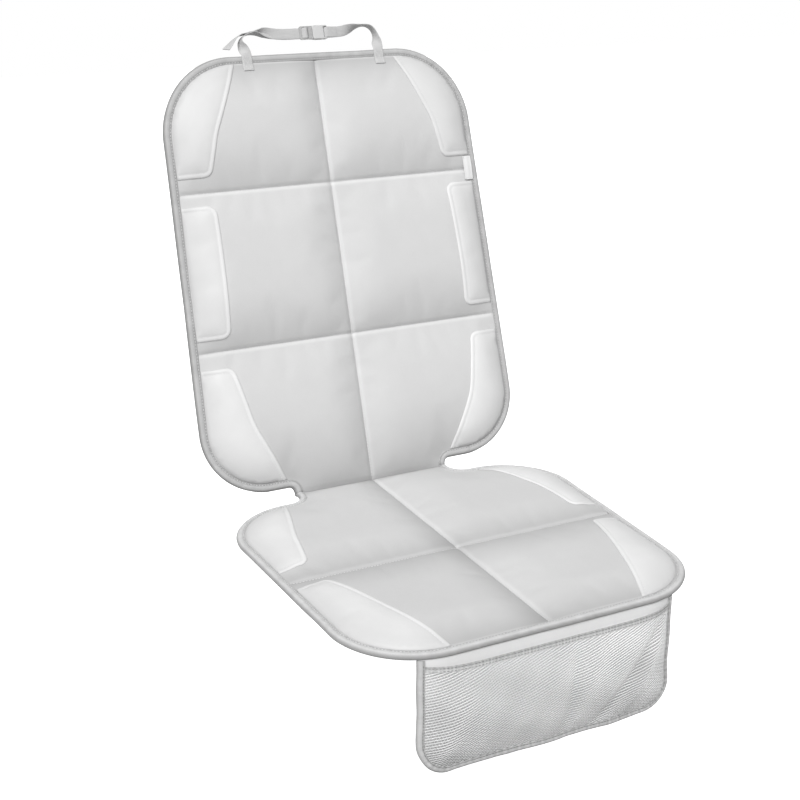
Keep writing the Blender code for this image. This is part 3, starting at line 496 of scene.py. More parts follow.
def quilt_height(panel, points):
    """Height of a panel's sewn and padded face before the simulation."""
    x, t = points.T
    rise = roll(off_edge(panel, points) - BINDING_WIDTH * 0.7, EDGE_ROLL)
    rise *= np.where(x > 0, stepped(x, CENTRE_ROLL), roll(-x, CENTRE_ROLL))
    above, below = SEAT_ROLLS if panel is SEAT else BACK_ROLLS
    rise *= roll(t, above)
    for seam in panel["seams"]:
        rise *= np.where(t >= seam, roll(t - seam, above), stepped(seam - t, below))
    return TOP_EDGE + panel["crown"] * rise


def stepped(d, shape):
    """A roll that begins with a short steep rise."""
    return STEP_SHARE * roll(d, STEP) + (1 - STEP_SHARE) * roll(d, shape)


def fade(d, depth, width, power=1.7):
    """Share of light kept beside a fold of the cloth, less at the fold and all of it further off."""
    return 1 - depth * (1 - np.clip(d / width, 0, 1)) ** power * (d > -1e-6)


def lit(d, share=LIT_SHARE, offset=LIT_OFFSET):
    """The crest beside a seam, which catches more of the light than its slope does."""
    return 1 + share * np.exp(-((d - offset) / LIT_WIDTH) ** 2) * (d > 0)


def painted_cloth_shade(panel, points):
    """Painted light and shade of the cover: darker where seams and edges pull it down, with a painted light
    line by each seam.
    """
    x, t = points.T
    end = panel["length"] - BINDING_WIDTH - t
    if panel is SEAT:
        seam = panel["seams"][0]
        tone = fade(-x, 0.27, 0.050) * fade(t, 0.25, 0.022) * fade(end, 0.27, 0.052)
        tone *= fade(t - seam, 0.23, 0.085) * fade(seam - t, 0.25, 0.060)
        # Painted pool of light on the seat's front right cell.
        tone *= 1 + 0.05 * np.exp(-((x - 0.070) / 0.060) ** 2 - ((t - 0.365) / 0.050) ** 2)
        return tone * lit(x, 0.10) * lit(seam - t, 0.13, 0.0024)
    low, high = panel["seams"]
    tone = fade(-x, 0.10, 0.050) * fade(t, 0.28, 0.150) * fade(end, 0.28, 0.060)
    # Painted shade on the lowest row of cells and painted light on the top row.
    tone *= 1 - 0.03 * (t < low) + 0.035 * (t > high)
    tone *= fade(t - low, 0.20, 0.085) * fade(t - high, 0.15, 0.075)
    return tone * lit(x) * lit(low - t) * lit(high - t)


def seam_detail(panel, points):
    """The sewn channel along each seam and the small puckers beside it."""
    deep = np.zeros(len(points))
    x, t = points.T
    for off, length in [(np.abs(x), t)] + [(np.abs(t - seam), x) for seam in (0, *panel["seams"])]:
        deep -= CHANNEL_DEPTH * np.exp(-(off / CHANNEL_WIDTH) ** 2)
        wave = sine(length, PUCKER_PITCH, 1.7 * np.sin(length * 31)) * (0.6 + 0.4 * np.sin(length * 47 + 1))
        deep += PUCKER * wave * np.exp(-off / PUCKER_REACH) * np.clip(off / 0.002, 0, 1)
    near = np.clip((off_edge(panel, points) - BINDING_WIDTH) / 0.012, 0, 1)
    return deep * (0.35 + 0.65 * near)


def panel_lines(panel, step, offsets=()):
    """Grid lines across and along a panel, with one on each seam."""
    half = max(panel["near"], panel["far"])
    return (lines_between((-half, 0, half), step, offsets),
            lines_between((0, *panel["seams"], panel["length"]), step, offsets))


def simulate(panel):
    """Blow up a coarse copy of the face between its seams: grid lines and how far it moved."""
    lines_x, lines_t = panel_lines(panel, SIM_STEP)
    moved = np.zeros((len(lines_t), len(lines_x)))
    edge = closed(even(panel_outline(panel, 0.006), 0.006))
    points, quads, rim, used = grid_plan(lines_x, lines_t, edge)
    start = TOP_EDGE + (quilt_height(panel, points) - TOP_EDGE) * SIM_START
    places, faces = body_of(points, quads, rim, start, -panel["depth"])
    pad = mesh_object("pad", places, faces, bpy.data.materials.new("pad"))
    x, t = points.T
    held = np.ones(len(places), bool)
    held[:len(points)] = np.abs(x) < 1e-4
    held[rim] = True
    for seam in (0, *panel["seams"]):
        held[:len(points)] |= np.abs(t - seam) < 1e-4
    group = pad.vertex_groups.new(name="held")
    group.add(np.nonzero(held)[0].tolist(), 1.0, "REPLACE")
    cloth = pad.modifiers.new("Cloth", "CLOTH")
    for key, value in SIM_CLOTH.items():
        setattr(cloth.settings, key, value)
    cloth.settings.effector_weights.gravity = 0
    cloth.collision_settings.use_collision = False
    cloth.point_cache.frame_end = SIM_FRAMES
    scene = bpy.context.scene
    for number in range(1, SIM_FRAMES + 1):
        scene.frame_set(number)
    shape = pad.evaluated_get(bpy.context.evaluated_depsgraph_get()).data
    result = np.zeros(len(places) * 3)
    shape.vertices.foreach_get("co", result)
    rise = result.reshape(-1, 3)[:len(points), 2] - start
    moved.ravel()[used] = np.clip(rise, -SIM_CAP, SIM_CAP)
    bpy.data.objects.remove(pad)
    scene.frame_set(1)
    return lines_x, lines_t, moved


def spline(lines, places):
    """The four grid lines about each place, with their weights in a smooth curve."""
    at = np.interp(places, lines, np.arange(len(lines)))
    first = np.minimum(at.astype(int), len(lines) - 2)
    u = at - first
    weights = ((1 - u) ** 3, 3 * u ** 3 - 6 * u ** 2 + 4, -3 * u ** 3 + 3 * u ** 2 + 3 * u + 1, u ** 3)
    return [(np.clip(first + k - 1, 0, len(lines) - 1), w / 6) for k, w in enumerate(weights)]


def sample(field, points):
    """Smooth value of a field on grid lines at any points."""
    lines_x, lines_t, values = field
    rows = spline(lines_t, points[:, 1])
    return sum(values[row, column] * one * two
               for column, one in spline(lines_x, points[:, 0]) for row, two in rows)


def face_level(panel):
    """Height of the finished quilted face, as a function of points."""
    field = simulate(panel)
    share = SIM_START

    def level(points):
        base = TOP_EDGE + (quilt_height(panel, points) - TOP_EDGE) * share
        free = np.clip((off_edge(panel, points) - BINDING_WIDTH) / SIM_MARGIN, 0, 1)
        return base + free * sample(field, points) + seam_detail(panel, points)
    return level


def make_quilt(panel, level, looks):
    """The padded panel: quilted face, foam inside and a flat underside."""
    edge = closed(even(panel_outline(panel, 0.0030), 0.003))
    points, quads, rim, _ = grid_plan(*panel_lines(panel, QUILT_STEP, SEAM_OFFSETS), edge)
    base = -panel["depth"] + LINING_LEVEL + LINING_THICK + GAP
    places, faces = body_of(points, quads, rim, level(points), base)
    name = panel["name"]
    quilt = panel_piece(panel, name + "_quilt", "cover", [name + "_cover", name + "_foam"], places,
                        faces, looks[name + "_cover"], sharp=60, tone=painted_cloth_shade(panel, places[:, :2]))


def make_backing(panel, looks):
    """Non-slip backing sheet with rows of raised dots."""
    name = panel["name"]
    edge = even(panel_outline(panel, LINING_LEVEL), 0.006)
    low = -panel["depth"] + LINING_LEVEL
    ring = list(range(len(edge)))
    places, faces = body_of(edge, [tuple(ring)], ring, np.full(len(edge), low + LINING_THICK), low)
    backing = panel_piece(panel, name + "_backing", "lining", [name + "_lining"], places, faces,
                          looks["backing"], sharp=40)
    places, faces = backing_dots(panel, low)
    panel_piece(panel, name + "_grip_dots", "lining", (), places, faces, looks["grip"])


def backing_dots(panel, low, pitch=0.0100, radius=0.0021, height=0.0006):
    """Low round rubber dots in staggered rows on the underside."""
    half = max(panel["near"], panel["far"])
    spots = np.array([(x + pitch / 2 * (row % 2), t)
                      for row, t in enumerate(np.arange(pitch, panel["length"], pitch * 0.87))
                      for x in np.arange(-half, half, pitch)])
    edge = closed(even(panel_outline(panel, BINDING_WIDTH + radius + 0.001), 0.008))
    spots = spots[inside(edge, spots)]
    rings = ((radius, 0.0002), (radius * 0.92, -height * 0.65), (radius * 0.5, -height))
    dot = np.array([(r * x, r * y, n) for r, n in rings for x, y in circle(6)])
    places = np.column_stack([spots, np.full(len(spots), low)])[:, None] + dot
    faces = [face for k in range(len(spots)) for face in tube(3, 6, len(dot) * k)]
    return places.reshape(-1, 3), faces


def make_seam_thread(panel, level, looks):
    """Quilting stitches along the centre seam and the cross seams."""
    lines = [[(0, 0.004), (0, panel["length"] - BINDING_WIDTH)]]
    edge = closed(even(panel_outline(panel, BINDING_WIDTH), 0.004))
    for seam in panel["seams"]:
        run = even([(-SEAM_REACH, seam), (SEAM_REACH, seam)], 0.002)
        lines.append(run[inside(edge, run)])
    runs = []
    for line in lines:
        run = even(line, 0.002)
        runs.append(on_panel(panel, run, level(run) + THREAD_SINK))
    stitches(panel["name"] + "_seam_thread", "cover", looks["thread"], runs)


# Binding tape

def tape_section(depth, width, wall):
    """Folded tape in section: pairs of inset and height, the outer side and then the inner."""
    top = [(width, -0.0003), (width - 0.0007, 0.0002), (width * 0.87, 0.0001), (width * 0.81, -0.0003),
           (width * 0.75, 0.0002), (width * 0.60, 0.0007), (width * 0.42, 0.0008),
           (width * 0.26, 0.0003), (0.0015, -0.0007), (0.0005, -0.0019), (0, -depth / 2)]
    low = [(inset, -depth - height) for inset, height in reversed(top[:-1])]
    inner = [(width, -depth + wall), (wall * 1.5, -depth + wall * 1.3), (wall, -depth / 2),
             (wall * 1.5, -wall * 1.3), (width, -wall)]
    return top + low, inner


def tape_mesh(run, depth, width, wall, seed, level=None):
    """Points, faces, metres and tone of a tape folded over an edge that follows a run."""
    outer, inner = tape_section(depth, width, wall)
    section = np.array(outer + inner)
    inset, height = section.T
    share = inset / width
    side = left_of(run, smooth=3)
    length = along(run)
    bend = np.abs(np.gradient(np.unwrap(np.arctan2(side[:, 1], side[:, 0])), length))
    rng = np.random.default_rng(seed)
    drift, slow, mottle = (np.interp(length, np.linspace(0, length[-1], count), rng.normal(0, 1, count))
                           for count in (60, 40, 260))
    puff = TAPE_PUFF + TAPE_CORNER_PUFF * np.clip(bend * 0.08, 0, 1)
    puff *= sine(length, 0.0105, drift) + 0.5 * sine(length, 0.017, 2 * drift)
    swell = np.sign(height + depth / 2) * ((share > 0.3) & (share < 0.95))
    strayed = inset + slow[:, None] * TAPE_SHIFT * np.where(share < 0.3, 1, 0.4)
    spots = run[:, None] + side[:, None] * strayed[:, :, None]
    rings = np.dstack([spots, height + puff[:, None] * swell])
    if level is not None:
        rings[:, :, 2] += level(rings[:, :, 0])
    stations, count = len(run), len(section)
    uv = np.stack([np.repeat(length, count), np.tile(along(section), stations)], axis=1)
    # Painted shade: the tape is darker at its outer edge and in the groove where its thread runs; the
    # mottle below is uneven tone.
    tone = np.interp(share, (0.02, 0.12, 0.22, 0.70, 0.81, 0.93), (0.60, 0.76, 1.07, 1.06, 0.66, 0.92))
    tone = (1 + TAPE_MOTTLE * mottle)[:, None] * tone
    return rings.reshape(-1, 3), tube(stations, count), uv, tone.ravel()


def make_binding(panel, looks):
    name, depth = panel["name"], panel["depth"]
    run = even(panel_outline(panel), 0.0032)
    seed = 3 if panel is SEAT else 5
    places, faces, uv, tone = tape_mesh(run, depth, BINDING_WIDTH, BINDING_WALL, seed)
    panel_piece(panel, name + "_tape", "binding", [name + "_binding"], places, faces,
                looks[name + "_tape"], uv=uv, flip=panel is BACK, sharp=75, tone=tone)
    line = even((run + left_of(run, 3) * BINDING_WIDTH * THREAD_SHARE)[4:-4], 0.002)
    points, up = on_panel(panel, line, THREAD_SINK - depth)
    stitches(name + "_tape_thread", "binding", looks["thread"],
             [on_panel(panel, line, -THREAD_SINK), (points, -up)])


# Patches

def crossing(path, axis, value):
    for i in range(1, len(path)):
        one = path[i - 1][axis] - value
        two = path[i][axis] - value
        if one * two <= 0 and one != two:
            share = one / (one - two)
            return i, path[i - 1] + (path[i] - path[i - 1]) * share
    raise ValueError("the outline has no such place")


def patch_specs():
    """Each patch: panel, where its edge meets the binding, and the inner edge's corners."""
    high, low = BACK["seams"][1], BACK["seams"][0]
    seam = SEAT["seams"][0]
    top, near = BACK["far"], BACK["near"]
    rear, front = SEAT["near"], SEAT["far"]
    bend, corner = 0.120, 0.013
    return {
        "back_patch_top": (BACK, (1, high + 0.0206), (0, top - 0.1125), [
            (top - 0.0705, BACK["length"] - 0.1060, bend), (top - 0.0565, high + 0.0206, corner)]),
        "back_patch_middle": (BACK, (1, low + 0.0165), (1, high - 0.0175), [
            (near - 0.0675, high - 0.0175, corner), (near - 0.0620, low + 0.0165, corner)]),
        "back_patch_lower": (BACK, (0, near - 0.1150), (1, low - 0.0230), [
            (near - 0.0590, low - 0.0230, corner), (near - 0.0760, BACK["lobe"] + 0.0930, bend)]),
        "seat_patch_rear": (SEAT, (0, rear - 0.0985), (1, seam - 0.0280), [
            (rear - 0.0540, seam - 0.0280, corner), (rear - 0.0660, SEAT["lobe"] + 0.1250, bend)]),
        "seat_patch_front": (SEAT, (1, seam + 0.0198), (0, front - 0.1095), [
            (front - 0.0720, SEAT_LENGTH - 0.1250, bend), (front - 0.0470, seam + 0.0198, corner)]),
    }


def patch_shape(panel, start, end, corners):
    """Right-hand patch: its closed outline and its inner edge, both from the binding inwards."""
    whole = panel_outline(panel, BINDING_WIDTH + GAP)
    middle = len(whole) // 2
    right = np.vstack([whole[:middle], [(0, whole[middle][1])]])
    low, first = crossing(right, *start)
    rest = np.vstack([first, right[low:]])
    high, last = crossing(rest, *end)
    outer = np.vstack([rest[:high], last])
    points = [last] + [c[:2] for c in corners] + [first]
    inner = [tuple(last)]
    for i, (_, _, radius) in enumerate(corners):
        inner += fillet(points[i], points[i + 1], points[i + 2], radius)
    inner = even(inner + [tuple(first)], 0.0030)
    outer = even(outer, 0.0040)
    return np.vstack([outer, inner[1:-1]]), inner


def inward(run, edge, probe=0.004):
    """Unit vectors from a run into the closed edge that it is part of."""
    side = left_of(run, 2)
    middle = len(run) // 2
    return side if inside(edge, (run + side * probe)[middle:middle + 1])[0] else -side


def patch_plan(outline, inner):
    """Triangles of a patch, with rows of points along its raised rim."""
    edge = closed(outline)
    towards = inward(inner, edge)
    spots = np.vstack([inner + towards * width for width in PATCH_RINGS[1:]])
    gaps = np.repeat(PATCH_RINGS[1:], len(inner))
    spots = spots[inside(edge, spots) & (distance(inner, spots) > gaps * 0.93)
                  & (distance(edge, spots) > 0.0004)]
    low, high = outline.min(axis=0), outline.max(axis=0)
    x, t = np.meshgrid(*(np.arange(low[k], high[k], PATCH_SPOT) for k in range(2)))
    field = np.stack([x.ravel(), t.ravel()], axis=1)
    field = field[inside(edge, field) & (distance(edge, field) > PATCH_MARGIN)
                  & (distance(inner, field) > PATCH_RINGS[-1] + PATCH_MARGIN)]
    points = [Vector(p) for p in np.vstack([outline, spots, field])]
    count = len(outline)
    edges = [(k, (k + 1) % count) for k in range(count)]
    made, _, faces, *_ = delaunay_2d_cdt(points, edges, [], 1, 1e-6)
    made = np.array([tuple(p) for p in made])
    centres = np.array([made[list(f)].mean(axis=0) for f in faces])
    return made, [tuple(f) for f, keep in zip(faces, inside(edge, centres)) if keep]


def make_patches(level_of, looks):
    for base, (panel, start, end, corners) in patch_specs().items():
        outline, inner = patch_shape(panel, start, end, corners)
        points, faces = patch_plan(outline, inner)
        level = level_of[panel["name"]]
        off_tape = distance(even(panel_outline(panel, BINDING_WIDTH), 0.006), points)
        rise = np.minimum(np.interp(distance(inner, points), *PATCH_HEIGHTS), 0.0009 + 0.30 * off_tape)
        # Painted shade darkens each patch towards the tape, and a painted highlight runs along its raised
        # rim.
        tone = fade(off_tape, 0.17, 0.042, 1.4) * lit(distance(inner, points) + 1e-6, 0.05)
        seam = inner[2:-2]
        seam = even(seam + inward(seam, closed(outline)) * 0.0060, 0.002)
        for side, word in ((1, "right"), (-1, "left")):
            under = level(points * (side, 1)) + GAP
            flat = faces if side == 1 else [tuple(reversed(f)) for f in faces]
            places, made = shell(points * (side, 1), flat, under + rise, under)
            name = f"{base}_{word}"
            patch = panel_piece(panel, name + "_pad", "patch", [name], places, made, looks["patch"],
                                sharp=75, tone=np.tile(tone, 2))
            line = seam * (side, 1)
            run = on_panel(panel, line, level(line) + GAP + 0.0012)
            stitches(name + "_thread", "patch", looks["thread"], [run])


# Label

def make_label(level, looks):
    """Blank woven label, folded over and sewn at its two short ends."""
    low, high = (corner.x - LABEL_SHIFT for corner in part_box("side_label"))
    middle = BACK["seams"][1] + 0.0020
    start, end = middle - LABEL_HALF, middle + LABEL_HALF
    lines = np.linspace(low, high, 12), np.linspace(start, end, 26)
    points, quads, _, _ = grid_plan(*lines, rectangle(low, start, high, end))
    x, t = points.T
    lift = 0.0011 + 0.0012 * (1 - ((t - middle) / LABEL_HALF) ** 2) + 0.0003 * np.sin(x * 700)
    under = np.maximum(level(points), LABEL_FLOOR) + lift
    places, faces = shell(points, quads, under + LABEL_THICK, under)
    label = panel_piece(BACK, "blank_label", "label", ["side_label"], places, faces, looks["label"],
                        sharp=60)
    runs = []
    for t in (start + 0.0022, end - 0.0022):
        run = even([(low + 0.001, t), (high - 0.001, t)], 0.001)
        runs.append(on_panel(BACK, run, np.maximum(level(run), LABEL_FLOOR) + 0.0022))
    stitches("label_thread", "label", looks["thread"], runs, 0.0026, 0.0019, 0.00025)


# Webbing

def strap_routes(level):
    """Stations of both straps: x, t, n and turn in degrees, and the bend round the plug's bar."""
    top = BACK["length"]
    rear, front = BUCKLE_N - BAR_BEND, BUCKLE_N + BAR_BEND
    tab = STRAP_FLOOR
    end_bar = BUCKLE_X - BUCKLE_HALF + BAR_LENGTH
    mid_bar = end_bar + SLOT_NEAR + BAR_LENGTH / 2

    def from_foot(x, steps):
        return [(x + dx, top + dt, n, turned) for dx, dt, n, turned in steps]

    def sewn(x):
        made = []
        for drop in (TAB_LENGTH, 0.0180, 0.0150, 0.0120, 0.0085, 0.0050):
            over = float(level(np.array([(x, top - drop)]))[0]) + STRAP_REST
            made.append((x, top - drop, max(over, tab), 90))
        return made
    main = sewn(STRAP_LEFT) + from_foot(STRAP_LEFT, [
        (0, -0.0015, tab, 90), (-0.0003, 0.003, tab - 0.0008, 86), (-0.0020, 0.009, -0.0014, 62),
        (-0.0042, 0.015, -0.0030, 22), (-0.0043, 0.0200, -0.0040, 4), (-0.0010, 0.0250, rear, 0),
        (0.0050, 0.0288, rear, 0), (0.0125, 0.0306, rear, -3), (0.0220, 0.0316, rear, -22),
        (0.0320, 0.0310, rear, -58), (0.0460, STRAP_RISE + 0.0012, rear, -84),
        (0.0620, STRAP_RISE, rear, -90), (end_bar - 0.0080 - STRAP_LEFT, STRAP_RISE, rear, -90)])
    turn = [(end_bar - 0.0030, rear), (end_bar - 0.0004, rear), (end_bar + 0.0008, rear + 0.0005),
            (end_bar + SLOT_NEAR / 2, BUCKLE_N), (mid_bar - BAR_LENGTH / 2 - 0.0008, front - 0.0005),
            (mid_bar - 0.0006, front)]
    turn += arc(mid_bar + TURN_SHIFT, BUCKLE_N, BAR_BEND, 90, -90)
    turn += [(mid_bar - 0.0025, rear - 0.0002), (end_bar + 0.0018, rear - TAIL_SPACE + 0.0003),
             (end_bar - 0.0004, rear - TAIL_SPACE), (end_bar - 0.0030, rear - TAIL_SPACE)]
    tail = []
    for x, t, n, turned in reversed(main[-7:]):
        a = math.radians(turned)
        tail.append((x, t + TAIL_SPACE * math.cos(a), n + TAIL_SPACE * math.sin(a), turned))
    tail += from_foot(STRAP_LEFT, [
        (-0.0040, 0.0285, rear, 0), (-0.0125, 0.0232, rear + 0.0004, -6),
        (-0.0200, 0.0160, rear + 0.0010, -18), (-0.0265, 0.0100, rear + 0.0016, -26)])
    out = sewn(STRAP_RIGHT) + from_foot(STRAP_RIGHT, [
        (0, -0.0015, tab, 90), (0.0002, 0.003, tab - 0.0008, 84), (0.0006, 0.009, -0.0014, 58),
        (0.0010, 0.016, -0.0030, 18), (0.0006, 0.0225, -0.0040, 4), (-0.0022, 0.0292, rear, 0),
        (-0.0080, 0.0340, rear, 0), (-0.0160, 0.0353, rear, 0), (-0.0260, 0.0340, rear, 14),
        (-0.0370, 0.0318, rear, 48), (-0.0500, STRAP_RISE + 0.0010, rear, 82),
        (-0.0640, STRAP_RISE, rear, 90),
        (BUCKLE_X + BUCKLE_HALF + 0.0060 - STRAP_RIGHT, STRAP_RISE, rear, 90)])
    return main, turn, tail, out


def smooth_route(stations, per_span=5):
    """Catmull-Rom curve through stations."""
    whole = np.array(stations, float)
    padded = np.vstack((2 * whole[0] - whole[1], whole, 2 * whole[-1] - whole[-2]))
    a, b, c, d = (padded[i:len(padded) - 3 + i, None] for i in range(4))
    k = np.arange(per_span)[:, None] / per_span
    spans = (2 * b + (c - a) * k + (2 * a - 5 * b + 4 * c - d) * k ** 2
             + (3 * b - a - 3 * c + d) * k ** 3) / 2
    return np.vstack([spans.reshape(-1, whole.shape[1]), whole[-1]])


def route_across(stations):
    """Places of a route and the direction of the webbing's width at each."""
    route = smooth_route(stations)
    places = route[:, :3]
    ahead = unit(np.gradient(places, axis=0))
    side = unit(np.cross(ahead, (0, 0, 1)))
    upright = unit(np.cross(side, ahead))
    turn = np.radians(route[:, 3])[:, None]
    return places, upright * np.cos(turn) + side * np.sin(turn)


def bar_turn(turn):
    """Places and width directions of webbing round a bar of the buckle."""
    places = np.array([(x, BACK["length"] + STRAP_RISE, n) for x, n in turn])
    return places, np.tile((0.0, 1.0, 0.0), (len(places), 1))


def webbing(name, stretches, look, node):
    """Woven strap through stretches of places and width directions, with rounded edges."""
    places = np.vstack([spots for spots, _ in stretches])
    across = np.vstack([widths for _, widths in stretches])
    turned = np.where((across[1:] * across[:-1]).sum(axis=1) < 0, -1, 1)
    across[1:] *= np.cumprod(turned)[:, None]
    ahead = unit(np.gradient(places, axis=0))
    across = unit(across - ahead * (across * ahead).sum(axis=1)[:, None])
    out = np.cross(ahead, across)
    front = np.array(STRAP_SECTION) * (STRAP_WIDTH / 2, STRAP_THICK / 2)
    section = np.vstack([front, front[-2:0:-1] * (1, -1)])
    points = places[:, None] + across[:, None] * section[:, :1] + out[:, None] * section[:, 1:]
    stations, count = points.shape[:2]
    uv = np.stack([np.repeat(along(places), count), np.tile(section[:, 0], stations)], axis=1)
    panel_piece(BACK, name, "webbing", [node], points.reshape(-1, 3), tube(stations, count), look,
                uv=uv, flip=True, sharp=70)


def make_straps(level, looks):
    main, turn, tail, out = strap_routes(level)
    webbing("webbing_left", [route_across(main), bar_turn(turn), route_across(tail)],
            looks["webbing"], "strap_left")
    bar_x = BUCKLE_X + BUCKLE_HALF - SOCKET_BAR / 2
    front = BUCKLE_N + BAR_BEND
    loop = [(bar_x + 0.0160, front - 0.0022), (bar_x + 0.0090, front - 0.0018),
            (bar_x + 0.0040, front - 0.0004)]
    loop += arc(bar_x - TURN_SHIFT, BUCKLE_N, BAR_BEND, 90, 270)
    loop += [(bar_x + 0.0030, BUCKLE_N - BAR_BEND)]
    places, across = route_across(out)
    webbing("webbing_right", [bar_turn(loop), (places[::-1], across[::-1])],
            looks["webbing"], "strap_right")
    runs = []
    for x in (STRAP_LEFT, STRAP_RIGHT):
        wide = STRAP_WIDTH / 2 - 0.0018
        corners = rectangle(x - wide, BACK["length"] - TAB_LENGTH + 0.0020,
                            x + wide, BACK["length"] - 0.0025)
        for line in (corners, corners[[0, 2]], corners[[1, 3]]):
            run = even(line, 0.0015)
            centre = np.column_stack([np.full(len(run), x), run[:, 1]])
            over = np.maximum(level(centre) + STRAP_REST, STRAP_FLOOR)
            runs.append(on_panel(BACK, run, over + STRAP_THICK / 2 + 0.0001))
    stitches("webbing_thread", "webbing", looks["thread"], runs, 0.0030, 0.0022, 0.00028)


# Pocket

def pocket_outline(inset=0.0, top=POCKET_TOP):
    """Down the right side, round the lower corners and up the left, in the pocket's plane."""
    side = POCKET_HALF - inset
    radius = POCKET_CORNER - inset
    bottom = -POCKET_DROP + inset
    points = [(side, top)]
    points += arc(side - radius, bottom + radius, radius, 0, -90)
    points += arc(-side + radius, bottom + radius, radius, -90, -180)
    return np.array(points + [(-side, top)])


def front_curve(x):
    """How far the seat's front edge has curved back at a given distance from its middle."""
    radius = SEAT["far_corner"] - POCKET_SETBACK
    over = np.clip(np.abs(x) - (SEAT["far"] - SEAT["far_corner"]), 0, radius * 0.99)
    return -(radius - np.sqrt(radius * radius - over * over))


def pocket_place(points):
    """Points of the pocket, as x, t and n, in the frame of the part, with its slack waves."""
    x, t, n = np.asarray(points, float).T
    hang = np.clip((-t - MOUTH_DROP) / (POCKET_DROP - MOUTH_DROP), 0, 1)
    side = np.clip(np.abs(x) / POCKET_HALF, 0, 1) ** 6
    x = x + np.sign(x) * side * hang * 0.0013 * np.sin(t * 95 + np.sign(x) * 0.8)
    n = n + hang * (0.0016 * np.sin(x * 36 + 0.9) + 0.0009 * np.sin(x * 71 + t * 30))
    t = t + hang ** 3 * 0.0012 * np.sin(x * 48 + 0.5)
    return np.stack([x, -(FOLD_Y - POCKET_SETBACK) - n, FOLD_Z + t], axis=1)


def net_level(points):
    """How far the net stands off the pocket's panel, with its soft creases."""
    away = distance(even(pocket_outline(), 0.006), points) - POCKET_TAPE
    x, t = points.T
    mouth = np.clip(1 - (-MOUTH_DROP - t) / MOUTH_REACH, 0, 1)
    level = GAP + POCKET_DEPTH * roll(away, (POCKET_ROLL, 2.2)) * (1 - MOUTH_DRAW * mouth)
    creases = sum(deep * np.exp(-((x - centre - lean * (t + 0.08)) / wide) ** 2)
                  for centre, lean, wide, deep in NET_CREASES)
    return level + creases * np.clip(away / 0.02, 0, 1) * (1 - 0.9 * mouth ** 2)


def painted_pocket_shade(points):
    """Painted shade of the pocket: darker towards its lower edge, where the net lies closer, with painted
    light and shade of soft folds.
    """
    x, t = points[:, 0], points[:, 1]
    drop = np.clip((-t - MOUTH_DROP) / (POCKET_DROP - MOUTH_DROP), 0, 1)
    tone = 1.07 - 0.17 * drop - 0.07 * drop ** 3
    # Painted light and shade of broad soft folds.
    tone += 0.040 * sine(0.8 * x + 1.7 * t, 0.110, 0.4) * drop ** 0.3
    tone += 0.028 * sine(1.5 * x - 0.6 * t, 0.070, 2.2) * drop ** 0.3
    for centre, level, wide, high, share in NET_LIGHT_AND_SHADE:
        lean = centre + 0.25 * (t - level)
        tone += share * np.exp(-((x - lean) / wide) ** 2 - ((t - level) / high) ** 2)
    return tone


def make_net(looks, top):
    """Open net: two families of strands that pass over and under each other."""
    edge = closed(even(pocket_outline(POCKET_TAPE * 0.5, top), 0.004))
    angles = np.radians(NET_ANGLES)
    ways = np.stack([np.cos(angles), np.sin(angles)], axis=1)
    cross = np.stack([-np.sin(angles), np.cos(angles)], axis=1)
    reach = POCKET_HALF + POCKET_DROP
    s = np.arange(-reach, reach, NET_PITCH / abs(ways[0] @ cross[1]) / 2)
    corners = circle(12)[[3, 7, 11]]
    places, faces, uv = [], [], []
    start = 0
    for own, (swell, sign) in enumerate(((1.30, 1), (0.75, -1))):
        wide = NET_STRAND * swell
        ring = np.column_stack([corners[:, :1] * cross[own] * wide * 1.3, corners[:, 1] * wide * 0.8])
        for number in range(-int(reach / NET_PITCH), int(reach / NET_PITCH)):
            line = ways[own] * s[:, None] + cross[own] * number * NET_PITCH + NET_MIDDLE
            keep = inside(edge, line).astype(int)
            ends = np.nonzero(np.diff(np.concatenate([[0], keep, [0]])))[0].reshape(-1, 2)
            for a, b in ends[ends[:, 1] - ends[:, 0] > 2]:
                run = line[a:b]
                beat = (run - NET_MIDDLE) @ cross[1 - own] / NET_PITCH
                weave = NET_WEAVE * np.cos(math.pi * (beat + number)) * sign
                level = front_curve(run[:, 0]) + net_level(run) + NET_RISE + weave
                spine = np.column_stack([run, level])
                places.append((spine[:, None] + ring).reshape(-1, 3))
                faces += tube(len(run), 3, start)
                uv.append(np.column_stack([np.repeat(s[a:b], 3), np.tile(np.arange(3) * wide, b - a)]))
                start += 3 * len(run)
    places = np.vstack(places)
    return panel_piece(POCKET, "pocket_net", "net", ["pocket_mesh"], places, faces, looks["net"],
                       uv=np.vstack(uv), flip=False, tone=painted_pocket_shade(places))


def make_flap(looks, net_top):
    """The pocket's back sheet, with the net's shadow painted on it as a darker tone behind the net."""
    edge = closed(even(pocket_outline(POCKET_WALL + GAP), 0.004))
    lines = (lines_between(ends, 0.006)
             for ends in ((-POCKET_HALF, POCKET_HALF), (-POCKET_DROP, POCKET_TOP)))
    points, quads, _, _ = grid_plan(*lines, edge)
    front = front_curve(points[:, 0])
    places, made = shell(points, quads, front, front - POCKET_SHEET)
    # Painted shadow of the net, lighter towards the upper right, times the pocket's painted shade.
    behind = np.clip((net_top - places[:, 1]) / 0.004, 0, 1)
    bright = np.clip(0.5 + 2.2 * places[:, 0] + 5 * (places[:, 1] + 0.085), 0, 1)
    tone = 1 - behind * (1 - np.interp(bright, (0, 1), BEHIND_NET) * painted_pocket_shade(places))
    flap = panel_piece(POCKET, "pocket_panel", "pocket", ["pocket_back"], places, made,
                       looks["pocket"], sharp=70, tone=tone)


